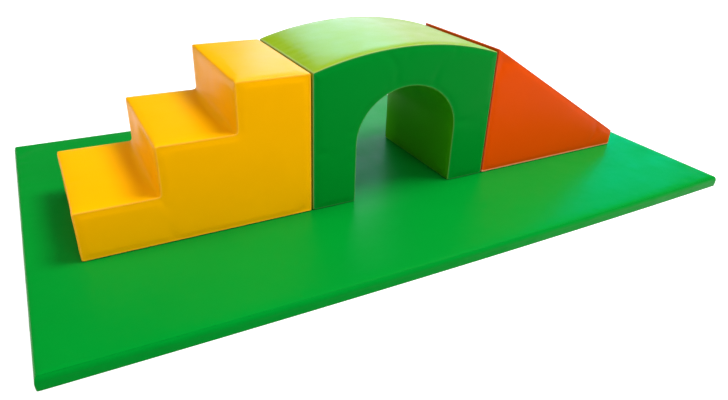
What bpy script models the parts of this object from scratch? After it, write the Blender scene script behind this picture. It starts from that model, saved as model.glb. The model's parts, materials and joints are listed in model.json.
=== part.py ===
"""Soft play foam climber: padded stairs, a tunnel bridge and a slide wedge on a padded floor mat.

Every padded piece is a block of foam in a cover sewn from vinyl panels, closed by a zip along its
back. The origin is the middle of the mat's underside, +X runs from the stairs to the slide, +Y to
the back and +Z up. Lengths are in metres.
"""

from collections import namedtuple
from math import atan2, copysign, cos, pi, radians, sin, sqrt, tan

import bmesh
import bpy
from mathutils import Matrix, Vector

# Covers and clearances
VINYL = 0.0012
FIT_GAP = 0.0003
OVERRUN = 0.01

# Floor mat
MAT_END_MARGIN = 0.187
MAT_WIDTH = 1.81
MAT_FOAM_THICKNESS = 0.05
MAT_CORNER_RADIUS = 0.008
MAT_TOP_EDGE_RADIUS = 0.013
MAT_BASE_EDGE_RADIUS = 0.005

# What the three blocks have in common. Their row stands in the middle of the mat's length.
BLOCK_DEPTH = 0.6
BLOCK_SETBACK = 0.055
BLOCK_CORNER_RADIUS = 0.008
BLOCK_EDGE_RADIUS = 0.006
BLOCK_BORDER = 0.034
SIDE_CROWN = 0.003
CROWN_RUN = 0.014
SHARPEST_RADIUS = 0.001

# Stairs
STEP_COUNT = 3
STEP_RISE = 0.203
STEP_GOING = 0.304
TREAD_CROWN = 0.003
RISER_PULL = 0.01
INNER_CORNER_RADIUS = 0.012

# Tunnel bridge
TUNNEL_LENGTH = 0.922
ARCH_RISE = 0.07
ARCH_CROWN = 0.003
OPENING_WIDTH = 0.517
OPENING_SPRING_HEIGHT = 0.276
OPENING_ARCH_RISE = 0.233
FOOT_CORNER_RADIUS = 0.008

# Slide wedge
SLIDE_LENGTH = 0.92
SLIDE_TOP_LIP = 0.016
SLIDE_TOE_HEIGHT = 0.083
SLIDE_TOP_RADIUS = 0.006
SLOPE_CROWN = 0.004

# Gaps between the ends of neighbouring blocks, and the hook-and-loop strips in them
STAIRS_TO_TUNNEL = 0.007
TUNNEL_TO_SLIDE = 0.005
STRIP_HEIGHT = 0.05
STRIP_LENGTH = 0.48
STRIP_CENTRE_HEIGHT = 0.42
STRIP_CORNER_RADIUS = 0.006

# Zips
MAT_ZIP_LENGTH = 1.4
STAIRS_ZIP_LENGTH = 0.6
TUNNEL_ZIP_LENGTH = 0.5
TUNNEL_ZIP_FOOT = 0.05
SLIDE_ZIP_LENGTH = 0.6
TAPE_WIDTH = 0.018
COIL_WIDTH = 0.006
COIL_HEIGHT = 0.0022
COIL_SHOULDER = 0.0008
COIL_ROOT = 0.0004
ZIP_END_MARGIN = 0.004
RUN_GAP = 0.0004

# Zip slider and its pull
PLATE_LENGTH = 0.016
PLATE_WIDTH = 0.0105
PLATE_THICKNESS = 0.0014
PLATE_CORNER_RADIUS = 0.003
FLANGE_LENGTH = 0.009
FLANGE_THICKNESS = 0.0012
POST_LENGTH = 0.003
POST_WIDTH = 0.0024
POST_SETBACK = 0.001
BRIDGE_WIDTH = 0.0024
BRIDGE_THICKNESS = 0.0011
BRIDGE_CHAMFER = 0.0006
CROSSBAR_WIDTH = 0.0014
CROSSBAR_ROOM = 0.0006
PULL_LENGTH = 0.024
PULL_WIDTH = 0.0072
PULL_WINDOW_LENGTH = 0.0038
JOIN_DEPTH = 0.0005

# How finely the curves are drawn
FILLET_STEPS = 4
ARCH_STEPS = 10
OPENING_STEPS = 12
ROUND_END_STEPS = 6
SHORT_EDGE_STEPS = 1
EDGE_STEPS = 2
SLOPE_STEPS = 4
SEAM_TURN = radians(58)
BAND_SHARES = (-0.55, 0.0, 0.55)
SHARP_ANGLE = radians(40)

# Worked out from the sizes above
MAT_THICKNESS = MAT_FOAM_THICKNESS + 2 * (VINYL + FIT_GAP)
CORE_DEPTH = VINYL + FIT_GAP
BLOCK_LIFT = MAT_THICKNESS + FIT_GAP
STAIRS_LENGTH = STEP_COUNT * STEP_GOING
PLATFORM_HEIGHT = STEP_COUNT * STEP_RISE
TUNNEL_CREST_HEIGHT = PLATFORM_HEIGHT + ARCH_RISE
SLIDE_TOP_HEIGHT = PLATFORM_HEIGHT + SLIDE_TOP_LIP
ROW_LENGTH = STAIRS_LENGTH + STAIRS_TO_TUNNEL + TUNNEL_LENGTH + TUNNEL_TO_SLIDE + SLIDE_LENGTH
MAT_LENGTH = ROW_LENGTH + 2 * MAT_END_MARGIN
STAIRS_START = -ROW_LENGTH / 2
TUNNEL_MIDDLE = STAIRS_START + STAIRS_LENGTH + STAIRS_TO_TUNNEL + TUNNEL_LENGTH / 2
SLIDE_START = ROW_LENGTH / 2 - SLIDE_LENGTH
ZIP_INSET = (BLOCK_EDGE_RADIUS + BLOCK_BORDER) / 2
PLATE_HEIGHT = COIL_HEIGHT + RUN_GAP
PIVOT_HEIGHT = PLATE_HEIGHT + PLATE_THICKNESS + CROSSBAR_WIDTH / 2 + CROSSBAR_ROOM

# A corner of an outline. The edge after it is drawn in a number of steps, and its middle swells.
Corner = namedtuple("Corner", "spot radius steps swell")
Spot = namedtuple("Spot", "place outward swell")
Form = namedtuple("Form", "corners half_depth edge_radii upright")
Colour = namedtuple("Colour", "name red green blue roughness metallic")

YELLOW_VINYL = Colour("yellow_vinyl", 0.86, 0.47, 0.0, 0.35, 0.0)
GREEN_VINYL = Colour("dark_green_vinyl", 0.0, 0.22, 0.035, 0.35, 0.0)
LIME_VINYL = Colour("lime_vinyl", 0.3, 0.58, 0.01, 0.35, 0.0)
ORANGE_VINYL = Colour("orange_vinyl", 0.72, 0.11, 0.0, 0.35, 0.0)
MAT_VINYL = Colour("mat_green_vinyl", 0.0, 0.34, 0.07, 0.35, 0.0)
ANTI_SLIP = Colour("anti_slip_vinyl", 0.03, 0.03, 0.032, 0.8, 0.0)
FOAM = Colour("foam", 0.72, 0.7, 0.62, 0.95, 0.0)
STRIP = Colour("hook_and_loop", 0.02, 0.02, 0.02, 0.95, 0.0)
ZIP_TAPE = Colour("zip_tape", 0.015, 0.015, 0.017, 0.8, 0.0)
ZIP_METAL = Colour("zip_metal", 0.5, 0.5, 0.48, 0.3, 1.0)


def clear_scene():
    for thing in list(bpy.data.objects):
        bpy.data.objects.remove(thing, do_unlink=True)


def material_for(colour):
    found = bpy.data.materials.get(colour.name)
    if found:
        return found
    material = bpy.data.materials.new(colour.name)
    material.use_nodes = True
    shader = material.node_tree.nodes["Principled BSDF"]
    shader.inputs["Base Color"].default_value = (colour.red, colour.green, colour.blue, 1)
    shader.inputs["Roughness"].default_value = colour.roughness
    shader.inputs["Metallic"].default_value = colour.metallic
    material.diffuse_color = (colour.red, colour.green, colour.blue, 1)
    return material


def add_frame(name, place, parent=None):
    """An empty that carries pieces and marks where they stand."""
    frame = bpy.data.objects.new(name, None)
    bpy.context.collection.objects.link(frame)
    frame.location = place
    frame.parent = parent
    return frame


def add_piece(name, shape, parent, colour):
    """Turns a bmesh into an object with smooth round faces and crisp edges."""
    bmesh.ops.recalc_face_normals(shape, faces=shape.faces)
    mesh = bpy.data.meshes.new(name)
    shape.to_mesh(mesh)
    shape.free()
    mesh.shade_smooth()
    mesh.set_sharp_from_angle(angle=SHARP_ANGLE)
    mesh.materials.append(material_for(colour))
    piece = bpy.data.objects.new(name, mesh)
    bpy.context.collection.objects.link(piece)
    piece.parent = parent
    return piece


def add_helper(name, shape, parent):
    """A solid that only cuts or joins another one."""
    helper = add_piece(name, shape, parent, FOAM)
    helper.hide_render = True
    helper.display_type = "WIRE"
    return helper


def combine(piece, helper, operation):
    step = piece.modifiers.new(helper.name, "BOOLEAN")
    step.operation = operation
    step.object = helper
    step.solver = "EXACT"


# Outlines with rounded corners


def left_of(direction):
    """A quarter turn to the left, which is inwards on an outline that runs anticlockwise."""
    return Vector((-direction.y, direction.x))


def directions(corners, index):
    """The directions in which the outline arrives at a corner and leaves it."""
    here = corners[index].spot
    arriving = (here - corners[index - 1].spot).normalized()
    leaving = (corners[(index + 1) % len(corners)].spot - here).normalized()
    return arriving, leaving


def turn_at(corners, index):
    arriving, leaving = directions(corners, index)
    return atan2(arriving.cross(leaving), arriving.dot(leaving))


def rounding_reach(corners, index):
    """How far a corner's rounding reaches along the edges beside it."""
    return corners[index].radius * tan(abs(turn_at(corners, index)) / 2)


def inset_radius(radius, inset, convex):
    if not radius:
        return 0.0
    return max(radius - inset, SHARPEST_RADIUS) if convex else radius + inset


def inset_corners(corners, inset):
    """The corners with every edge moved inwards by the same distance."""
    moved = []
    for index, corner in enumerate(corners):
        arriving, leaving = directions(corners, index)
        inward = left_of(arriving) + left_of(leaving)
        spot = corner.spot + inward * inset / (1 + arriving.dot(leaving))
        radius = inset_radius(corner.radius, inset, arriving.cross(leaving) > 0)
        moved.append(corner._replace(spot=spot, radius=radius))
    return moved


def corner_spots(corners, index):
    """The points of one rounded corner, or the one point of a place along a curve."""
    corner = corners[index]
    arriving, leaving = directions(corners, index)
    if not corner.radius:
        return [Spot(corner.spot, -left_of(arriving + leaving).normalized(), corner.swell)]
    outward = -left_of(arriving)
    turn = turn_at(corners, index)
    reach = rounding_reach(corners, index)
    radius = copysign(corner.radius, turn)
    centre = corner.spot - arriving * reach - outward * radius
    spots = []
    for step in range(FILLET_STEPS + 1):
        normal = Matrix.Rotation(turn * step / FILLET_STEPS, 2) @ outward
        spots.append(Spot(centre + normal * radius, normal, 0.0))
    return spots


def edge_spots(corners, index):
    """The points that divide the edge after a corner, with the most swell at its middle."""
    corner = corners[index]
    after = (index + 1) % len(corners)
    leaving = directions(corners, index)[1]
    start = corner.spot + leaving * rounding_reach(corners, index)
    end = corners[after].spot - leaving * rounding_reach(corners, after)
    spots = []
    for step in range(1, corner.steps):
        share = step / corner.steps
        swell = corner.swell * (1 - (2 * share - 1) ** 2)
        spots.append(Spot(start.lerp(end, share), -left_of(leaving), swell))
    return spots


def outline(corners, inset):
    """The points round an outline that is moved inwards, from its first corner on."""
    corners = inset_corners(corners, inset)
    spots = []
    for index in range(len(corners)):
        spots += corner_spots(corners, index) + edge_spots(corners, index)
    return spots


def seam_at(corners, number):
    """The index of the outline's point in the middle of a rounded corner, where panels meet."""
    before = corners[:number]
    points = sum((FILLET_STEPS if corner.radius else 0) + corner.steps for corner in before)
    return points + FILLET_STEPS // 2


# Rings of points on a padded form


def ring(form, inset, across, swelling=0.0):
    """The outline at one place across the form, with its swelling edges pushed out."""
    points = []
    for spot in outline(form.corners, inset):
        place = spot.place + spot.outward * spot.swell * swelling
        if form.upright:
            points.append(Vector((place.x, across, place.y)))
        else:
            points.append(Vector((place.x, place.y, across)))
    return points


def edge_ring(form, depth, turn, side):
    """A ring on the form's rounded edge, from its band at no turn to its side at a quarter turn."""
    edge = form.edge_radii[side > 0]
    radius = edge - depth
    inset = edge - radius * cos(turn)
    return ring(form, inset, side * (form.half_depth - edge + radius * sin(turn)))


def band_rings(form, depth):
    """The rings of the band round the form, from one seam to the other, at a depth in it."""
    turns = [SEAM_TURN * step / EDGE_STEPS for step in range(EDGE_STEPS + 1)]
    rings = [edge_ring(form, depth, turn, -1) for turn in reversed(turns)]
    for share in BAND_SHARES:
        across = share * (form.half_depth - max(form.edge_radii))
        rings.append(ring(form, depth, across, 1 - share**2))
    return rings + [edge_ring(form, depth, turn, 1) for turn in turns]


def side_rings(form, depth, side, crown):
    """The rings of a side from its seam inwards. A crowned side rises inside a flat border."""
    rings = [edge_ring(form, depth, SEAM_TURN, side), edge_ring(form, depth, pi / 2, side)]
    face = form.half_depth - depth
    if crown:
        rings.append(ring(form, BLOCK_BORDER, side * face))
        rings.append(ring(form, BLOCK_BORDER + CROWN_RUN, side * (face + crown)))
    return rings


# Solids made from rings


def add_sheet(shape, rows, closed):
    """Adds a sheet of faces through rows of points, and returns its vertices row by row."""
    lines = [[shape.verts.new(point) for point in row] for row in rows]
    steps = len(lines[0]) if closed else len(lines[0]) - 1
    for near, far in zip(lines, lines[1:]):
        for step in range(steps):
            after = (step + 1) % len(near)
            shape.faces.new((near[step], near[after], far[after], far[step]))
    return lines


def add_rim(shape, outer, inner):
    """Closes a shell with a rim between the open edges of its two sheets."""
    twins = {}
    for outer_line, inner_line in zip(outer, inner):
        twins.update(zip(outer_line, inner_line))
    for edge in [edge for edge in shape.edges if edge.is_boundary]:
        first, second = edge.verts
        if first in twins:
            shape.faces.new((first, second, twins[second], twins[first]))


def pulled_back(edge, inside):
    """A row of points moved back from its seam by half of the gap there."""
    return [
        point + (neighbour - point).normalized() * FIT_GAP / 2
        for point, neighbour in zip(edge, inside)
    ]


def add_core(name, form, parent):
    """The foam block inside a cover."""
    shape = bmesh.new()
    rings = [edge_ring(form, CORE_DEPTH, pi / 2, -1)]
    rings += band_rings(form, CORE_DEPTH)
    rings.append(edge_ring(form, CORE_DEPTH, pi / 2, 1))
    lines = add_sheet(shape, rings, True)
    shape.faces.new(lines[0])
    shape.faces.new(lines[-1])
    return add_piece(name, shape, parent, FOAM)


def add_side_panel(name, form, side, crown, parent, colour):
    """A panel over one side of a form, sewn to the band halfway round the edge."""
    shape = bmesh.new()
    sheets = []
    for depth in (0, VINYL):
        rings = side_rings(form, depth, side, crown)
        rings[0] = pulled_back(rings[0], rings[1])
        lines = add_sheet(shape, rings, True)
        shape.faces.new(lines[-1])
        sheets.append(lines)
    add_rim(shape, *sheets)
    return add_piece(name, shape, parent, colour)


def add_band_panel(name, form, first, last, parent, colour):
    """A panel of the band round a form, from one seam corner on to another."""
    total = len(outline(form.corners, 0))
    start = seam_at(form.corners, first)
    steps = (seam_at(form.corners, last) - start) % total
    shape = bmesh.new()
    sheets = []
    for depth in (0, VINYL):
        rows = [
            [points[(start + step) % total] for step in range(steps + 1)]
            for points in band_rings(form, depth)
        ]
        rows[0] = pulled_back(rows[0], rows[1])
        rows[-1] = pulled_back(rows[-1], rows[-2])
        columns = list(zip(*rows))
        columns[0] = pulled_back(columns[0], columns[1])
        columns[-1] = pulled_back(columns[-1], columns[-2])
        sheets.append(add_sheet(shape, columns, False))
    add_rim(shape, *sheets)
    return add_piece(name, shape, parent, colour)


def add_band_loop(name, form, parent, colour):
    """A band that runs all the way round a form."""
    shape = bmesh.new()
    sheets = []
    for depth in (0, VINYL):
        rings = band_rings(form, depth)
        rings[0] = pulled_back(rings[0], rings[1])
        rings[-1] = pulled_back(rings[-1], rings[-2])
        sheets.append(add_sheet(shape, rings, True))
    add_rim(shape, *sheets)
    return add_piece(name, shape, parent, colour)


# Small flat pieces


def box(size, low):
    """A box with its lowest corner at a given place."""
    shape = bmesh.new()
    bmesh.ops.create_cube(shape, size=1)
    middle = Vector(low) + Vector(size) / 2
    bmesh.ops.scale(shape, vec=Vector(size), verts=shape.verts)
    bmesh.ops.translate(shape, vec=middle, verts=shape.verts)
    return shape


def slab(points, push):
    """A flat outline of points, extruded by a vector."""
    shape = bmesh.new()
    face = shape.faces.new([shape.verts.new(point) for point in points])
    grown = bmesh.ops.extrude_face_region(shape, geom=[face], use_keep_orig=True)
    moved = [item for item in grown["geom"] if isinstance(item, bmesh.types.BMVert)]
    bmesh.ops.translate(shape, vec=push, verts=moved)
    return shape


def rectangle_corners(width, height, radius):
    """A rounded rectangle about the middle, from its lower left corner round anticlockwise."""
    signs = ((-1, -1), (1, -1), (1, 1), (-1, 1))
    return [
        Corner(Vector((across * width, up * height)) / 2, radius, SHORT_EDGE_STEPS, 0.0)
        for across, up in signs
    ]


# Hook-and-loop strips


def add_strip(name, parent, face, side, gap):
    """One half of a hook-and-loop link, on a block's end face. Its other half is its mirror image."""
    # Two strips and three small gaps fill the space between the blocks
    thickness = (gap - 3 * FIT_GAP) / 2
    corners = rectangle_corners(STRIP_LENGTH, STRIP_HEIGHT, STRIP_CORNER_RADIUS)
    start = face + side * FIT_GAP
    points = [
        Vector((start, spot.place.x, spot.place.y + STRIP_CENTRE_HEIGHT))
        for spot in outline(corners, 0)
    ]
    add_piece(name, slab(points, Vector((side * thickness, 0, 0))), parent, STRIP)


# Zips: along X, with Y out of the cover and nothing at the cover's outer face


def post_start():
    return PLATE_LENGTH / 2 - POST_SETBACK - POST_LENGTH


def parked_at(length):
    """Where the slider of a closed zip is, along the zip."""
    return length / 2 - ZIP_END_MARGIN - PLATE_LENGTH / 2


def add_zip_chain(name, length, parent):
    """The tape with its closed coil. Past the parked slider the tape's halves part at a slit."""
    coil_start = ZIP_END_MARGIN - length / 2
    coil_end = parked_at(length) + post_start() - RUN_GAP
    slit = POST_WIDTH / 2 + RUN_GAP
    half = TAPE_WIDTH / 2
    tape_end = length / 2
    tape = [
        Vector((-tape_end, 0, -half)),
        Vector((tape_end, 0, -half)),
        Vector((tape_end, 0, -slit)),
        Vector((coil_end, 0, -slit)),
        Vector((coil_end, 0, slit)),
        Vector((tape_end, 0, slit)),
        Vector((tape_end, 0, half)),
        Vector((-tape_end, 0, half)),
    ]
    chain = add_piece(name, slab(tape, Vector((0, -VINYL, 0))), parent, ZIP_TAPE)
    reach = COIL_WIDTH / 2
    coil = [
        Vector((coil_start, -COIL_ROOT, -reach)),
        Vector((coil_start, COIL_HEIGHT - COIL_SHOULDER, -reach)),
        Vector((coil_start, COIL_HEIGHT, COIL_SHOULDER - reach)),
        Vector((coil_start, COIL_HEIGHT, reach - COIL_SHOULDER)),
        Vector((coil_start, COIL_HEIGHT - COIL_SHOULDER, reach)),
        Vector((coil_start, -COIL_ROOT, reach)),
    ]
    # The coil ends a little before the slit, so that the two shapes share no face
    run = Vector((coil_end - coil_start - COIL_ROOT, 0, 0))
    combine(chain, add_helper(f"{name}_coil", slab(coil, run), parent), "UNION")


def plate(height):
    """A rounded plate of the slider, from a height upwards."""
    corners = rectangle_corners(PLATE_LENGTH, PLATE_WIDTH, PLATE_CORNER_RADIUS)
    points = [Vector((spot.place.x, height, spot.place.y)) for spot in outline(corners, 0)]
    return slab(points, Vector((0, PLATE_THICKNESS, 0)))


def bridge():
    """The arch on the slider that the pull's crossbar passes under."""
    inner = CROSSBAR_WIDTH / 2 + CROSSBAR_ROOM
    outer = inner + BRIDGE_THICKNESS
    foot = PLATE_HEIGHT + PLATE_THICKNESS - JOIN_DEPTH
    ceiling = PIVOT_HEIGHT + inner
    top = ceiling + BRIDGE_THICKNESS
    side = [
        (-outer, foot),
        (-inner, foot),
        (-inner, ceiling),
        (inner, ceiling),
        (inner, foot),
        (outer, foot),
        (outer, top - BRIDGE_CHAMFER),
        (outer - BRIDGE_CHAMFER, top),
        (BRIDGE_CHAMFER - outer, top),
        (-outer, top - BRIDGE_CHAMFER),
    ]
    points = [Vector((along, up, -BRIDGE_WIDTH / 2)) for along, up in side]
    return slab(points, Vector((0, 0, BRIDGE_WIDTH)))


def add_zip_slider(name, parent):
    """Two plates round the chain, joined by the post that parts it, with flanges and a bridge."""
    slider = add_piece(name, plate(PLATE_HEIGHT), parent, ZIP_METAL)
    low = -VINYL - RUN_GAP - PLATE_THICKNESS
    post_height = PLATE_HEIGHT + 2 * JOIN_DEPTH - low - PLATE_THICKNESS
    post_low = (post_start(), low + PLATE_THICKNESS - JOIN_DEPTH, -POST_WIDTH / 2)
    helpers = {
        "base": plate(low),
        "post": box((POST_LENGTH, post_height, POST_WIDTH), post_low),
        "bridge": bridge(),
    }
    flange = (FLANGE_LENGTH, PLATE_HEIGHT + JOIN_DEPTH - RUN_GAP, FLANGE_THICKNESS)
    flange_start = PLATE_CORNER_RADIUS - PLATE_LENGTH / 2
    for side, start in (("lower", -PLATE_WIDTH / 2), ("upper", PLATE_WIDTH / 2 - FLANGE_THICKNESS)):
        helpers[f"{side}_flange"] = box(flange, (flange_start, RUN_GAP, start))
    for part, shape in helpers.items():
        combine(slider, add_helper(f"{name}_{part}", shape, parent), "UNION")


def add_zip_pull(name, parent):
    """A flat tab with a window. The crossbar at its end turns under the slider's bridge."""
    half_width = PULL_WIDTH / 2
    edge = CROSSBAR_WIDTH / 2
    tip = PULL_LENGTH - half_width
    tab = [Vector((-edge, -edge, half_width)), Vector((-edge, -edge, -half_width))]
    for step in range(ROUND_END_STEPS + 1):
        angle = pi * step / ROUND_END_STEPS - pi / 2
        tab.append(Vector((tip + half_width * cos(angle), -edge, half_width * sin(angle))))
    pull = add_piece(name, slab(tab, Vector((0, CROSSBAR_WIDTH, 0))), parent, ZIP_METAL)
    window_width = BRIDGE_WIDTH + 2 * RUN_GAP
    size = (PULL_WINDOW_LENGTH, CROSSBAR_WIDTH + 2 * OVERRUN, window_width)
    low = (edge, -edge - OVERRUN, -window_width / 2)
    combine(pull, add_helper(f"{name}_window", box(size, low), parent), "DIFFERENCE")


def cut_zip_slot(panel, name, length, parent):
    """Opens a cover panel for the zip's tape."""
    width = TAPE_WIDTH + 2 * FIT_GAP
    size = (length + 2 * FIT_GAP, 2 * OVERRUN, width)
    low = (-length / 2 - FIT_GAP, -OVERRUN, -width / 2)
    combine(panel, add_helper(f"{name}_slot", box(size, low), parent), "DIFFERENCE")


def cut_zip_groove(core, name, length, parent):
    """Makes room in the foam for the slider's lower plate, all along the zip."""
    depth = VINYL + PLATE_THICKNESS + 2 * RUN_GAP
    width = PLATE_WIDTH + 2 * RUN_GAP
    size = (length, depth + OVERRUN, width)
    low = (-length / 2, -depth, -width / 2)
    combine(core, add_helper(f"{name}_groove", box(size, low), parent), "DIFFERENCE")


def add_zip(owner, length, core, panel, parent, place, tilt=0.0):
    """A whole zip in a cover, with the cuts that seat it. A tilt turns its closed end downwards."""
    frame = add_frame(f"{owner}_zip", place, parent)
    frame.rotation_euler.y = tilt
    cut_zip_slot(panel, f"{owner}_zip", length, frame)
    cut_zip_groove(core, f"{owner}_zip", length, frame)
    add_zip_chain(f"{owner}_zip_chain", length, frame)
    slider = add_frame(f"{owner}_zip_slider_frame", (parked_at(length), 0, 0), frame)
    add_zip_slider(f"{owner}_zip_slider", slider)
    pivot = add_frame(f"{owner}_zip_pull_frame", (0, PIVOT_HEIGHT, 0), slider)
    add_zip_pull(f"{owner}_zip_pull", pivot)


# The four padded pieces


def build_mat():
    frame = add_frame("mat", (0, 0, MAT_THICKNESS / 2))
    corners = rectangle_corners(MAT_LENGTH, MAT_WIDTH, MAT_CORNER_RADIUS)
    edges = (MAT_BASE_EDGE_RADIUS, MAT_TOP_EDGE_RADIUS)
    form = Form(corners, MAT_THICKNESS / 2, edges, False)
    core = add_core("mat_foam_core", form, frame)
    add_side_panel("mat_top_panel", form, 1, 0, frame, MAT_VINYL)
    add_side_panel("mat_base_panel", form, -1, 0, frame, ANTI_SLIP)
    band = add_band_loop("mat_side_band", form, frame, MAT_VINYL)
    add_zip("mat", MAT_ZIP_LENGTH, core, band, frame, (0, MAT_WIDTH / 2, 0))


def block_form(corners):
    edges = (BLOCK_EDGE_RADIUS, BLOCK_EDGE_RADIUS)
    return Form(corners, BLOCK_DEPTH / 2, edges, True)


def add_block_sides(owner, form, frame, colour):
    """The front and the rear panel of a block."""
    add_side_panel(f"{owner}_front_panel", form, -1, SIDE_CROWN, frame, colour)
    return add_side_panel(f"{owner}_rear_panel", form, 1, SIDE_CROWN, frame, colour)


def low_zip_place(middle):
    """Where a zip lies that runs along the foot of a block's rear panel."""
    return (middle, BLOCK_DEPTH / 2, ZIP_INSET)


def stairs_corners():
    """The stepped side of the stairs, from the front of the base round anticlockwise."""
    corners = [
        Corner(Vector((0, 0)), BLOCK_CORNER_RADIUS, EDGE_STEPS, 0.0),
        Corner(Vector((STAIRS_LENGTH, 0)), BLOCK_CORNER_RADIUS, EDGE_STEPS, 0.0),
        Corner(Vector((STAIRS_LENGTH, PLATFORM_HEIGHT)), BLOCK_CORNER_RADIUS, EDGE_STEPS, TREAD_CROWN),
    ]
    for step in reversed(range(1, STEP_COUNT)):
        nose = Vector((step * STEP_GOING, (step + 1) * STEP_RISE))
        foot = Vector((step * STEP_GOING, step * STEP_RISE))
        corners.append(Corner(nose, BLOCK_CORNER_RADIUS, EDGE_STEPS, -RISER_PULL))
        corners.append(Corner(foot, INNER_CORNER_RADIUS, EDGE_STEPS, TREAD_CROWN))
    corners.append(Corner(Vector((0, STEP_RISE)), BLOCK_CORNER_RADIUS, EDGE_STEPS, -RISER_PULL))
    return corners


def build_stairs():
    frame = add_frame("stairs", (STAIRS_START, -BLOCK_SETBACK, BLOCK_LIFT))
    form = block_form(stairs_corners())
    core = add_core("stairs_foam_core", form, frame)
    rear = add_block_sides("stairs", form, frame, YELLOW_VINYL)
    add_band_panel("stairs_base_panel", form, 0, 1, frame, ANTI_SLIP)
    add_band_panel("stairs_end_panel", form, 1, 2, frame, YELLOW_VINYL)
    add_band_panel("stairs_tread_cover", form, 2, 0, frame, YELLOW_VINYL)
    add_strip("stairs_loop_strip", frame, STAIRS_LENGTH, 1, STAIRS_TO_TUNNEL)
    add_zip("stairs", STAIRS_ZIP_LENGTH, core, rear, frame, low_zip_place(STAIRS_LENGTH / 2))


def curve_corners(points, swell):
    return [Corner(point, 0.0, SHORT_EDGE_STEPS, swell) for point in points]


def opening_points():
    """The half ellipse over the tunnel's opening, from left to right."""
    points = []
    for step in range(OPENING_STEPS + 1):
        angle = pi - pi * step / OPENING_STEPS
        along = OPENING_WIDTH / 2 * cos(angle)
        points.append(Vector((along, OPENING_SPRING_HEIGHT + OPENING_ARCH_RISE * sin(angle))))
    return points


def arch_points():
    """The arc of the tunnel's top, from right to left, without its two ends."""
    half = TUNNEL_LENGTH / 2
    radius = (half**2 + ARCH_RISE**2) / (2 * ARCH_RISE)
    points = []
    for step in range(1, ARCH_STEPS):
        along = half - TUNNEL_LENGTH * step / ARCH_STEPS
        up = TUNNEL_CREST_HEIGHT - radius + sqrt(radius**2 - along**2)
        points.append(Vector((along, up)))
    return points


def tunnel_corners():
    """The tunnel's side, from the left foot round anticlockwise, and its seam corners in order."""
    half = TUNNEL_LENGTH / 2
    mouth = OPENING_WIDTH / 2
    opening = curve_corners(opening_points(), 0.0)
    arch = curve_corners(arch_points(), ARCH_CROWN)
    left_foot = [
        Corner(Vector((-half, 0)), BLOCK_CORNER_RADIUS, SHORT_EDGE_STEPS, 0.0),
        Corner(Vector((-mouth, 0)), FOOT_CORNER_RADIUS, SHORT_EDGE_STEPS, 0.0),
    ]
    right_foot = [
        Corner(Vector((mouth, 0)), FOOT_CORNER_RADIUS, SHORT_EDGE_STEPS, 0.0),
        Corner(Vector((half, 0)), BLOCK_CORNER_RADIUS, EDGE_STEPS, 0.0),
    ]
    right_top = Corner(Vector((half, PLATFORM_HEIGHT)), BLOCK_CORNER_RADIUS, SHORT_EDGE_STEPS, 0.0)
    left_top = Corner(Vector((-half, PLATFORM_HEIGHT)), BLOCK_CORNER_RADIUS, EDGE_STEPS, 0.0)
    corners = left_foot + opening + right_foot + [right_top] + arch + [left_top]
    seams = [corners.index(corner) for corner in (*left_foot, *right_foot, right_top, left_top)]
    return corners, seams


def build_tunnel():
    frame = add_frame("tunnel", (TUNNEL_MIDDLE, -BLOCK_SETBACK, BLOCK_LIFT))
    corners, seams = tunnel_corners()
    form = block_form(corners)
    core = add_core("tunnel_foam_core", form, frame)
    rear = add_block_sides("tunnel", form, frame, GREEN_VINYL)
    panels = (
        ("tunnel_left_base_panel", ANTI_SLIP),
        ("tunnel_lining", LIME_VINYL),
        ("tunnel_right_base_panel", ANTI_SLIP),
        ("tunnel_right_end_panel", LIME_VINYL),
        ("tunnel_top_cover", LIME_VINYL),
        ("tunnel_left_end_panel", LIME_VINYL),
    )
    for index, (name, colour) in enumerate(panels):
        after = seams[(index + 1) % len(seams)]
        add_band_panel(name, form, seams[index], after, frame, colour)
    half = TUNNEL_LENGTH / 2
    add_strip("tunnel_left_hook_strip", frame, -half, -1, STAIRS_TO_TUNNEL)
    add_strip("tunnel_right_hook_strip", frame, half, 1, TUNNEL_TO_SLIDE)
    zip_place = (ZIP_INSET - half, BLOCK_DEPTH / 2, TUNNEL_ZIP_FOOT + TUNNEL_ZIP_LENGTH / 2)
    add_zip("tunnel", TUNNEL_ZIP_LENGTH, core, rear, frame, zip_place, pi / 2)


def slide_corners():
    """The slide's side, from the foot of its tall end round anticlockwise."""
    return [
        Corner(Vector((0, 0)), BLOCK_CORNER_RADIUS, EDGE_STEPS, 0.0),
        Corner(Vector((SLIDE_LENGTH, 0)), BLOCK_CORNER_RADIUS, SHORT_EDGE_STEPS, 0.0),
        Corner(Vector((SLIDE_LENGTH, SLIDE_TOE_HEIGHT)), BLOCK_CORNER_RADIUS, SLOPE_STEPS, SLOPE_CROWN),
        Corner(Vector((0, SLIDE_TOP_HEIGHT)), SLIDE_TOP_RADIUS, EDGE_STEPS, 0.0),
    ]


def build_slide():
    frame = add_frame("slide", (SLIDE_START, -BLOCK_SETBACK, BLOCK_LIFT))
    form = block_form(slide_corners())
    core = add_core("slide_foam_core", form, frame)
    rear = add_block_sides("slide", form, frame, ORANGE_VINYL)
    add_band_panel("slide_base_panel", form, 0, 1, frame, ANTI_SLIP)
    add_band_panel("slide_toe_panel", form, 1, 2, frame, ORANGE_VINYL)
    add_band_panel("slide_slope_cover", form, 2, 3, frame, ORANGE_VINYL)
    add_band_panel("slide_end_panel", form, 3, 0, frame, ORANGE_VINYL)
    add_strip("slide_loop_strip", frame, 0, -1, TUNNEL_TO_SLIDE)
    add_zip("slide", SLIDE_ZIP_LENGTH, core, rear, frame, low_zip_place(SLIDE_LENGTH / 2))


def main():
    clear_scene()
    build_mat()
    build_stairs()
    build_tunnel()
    build_slide()


main()
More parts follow.
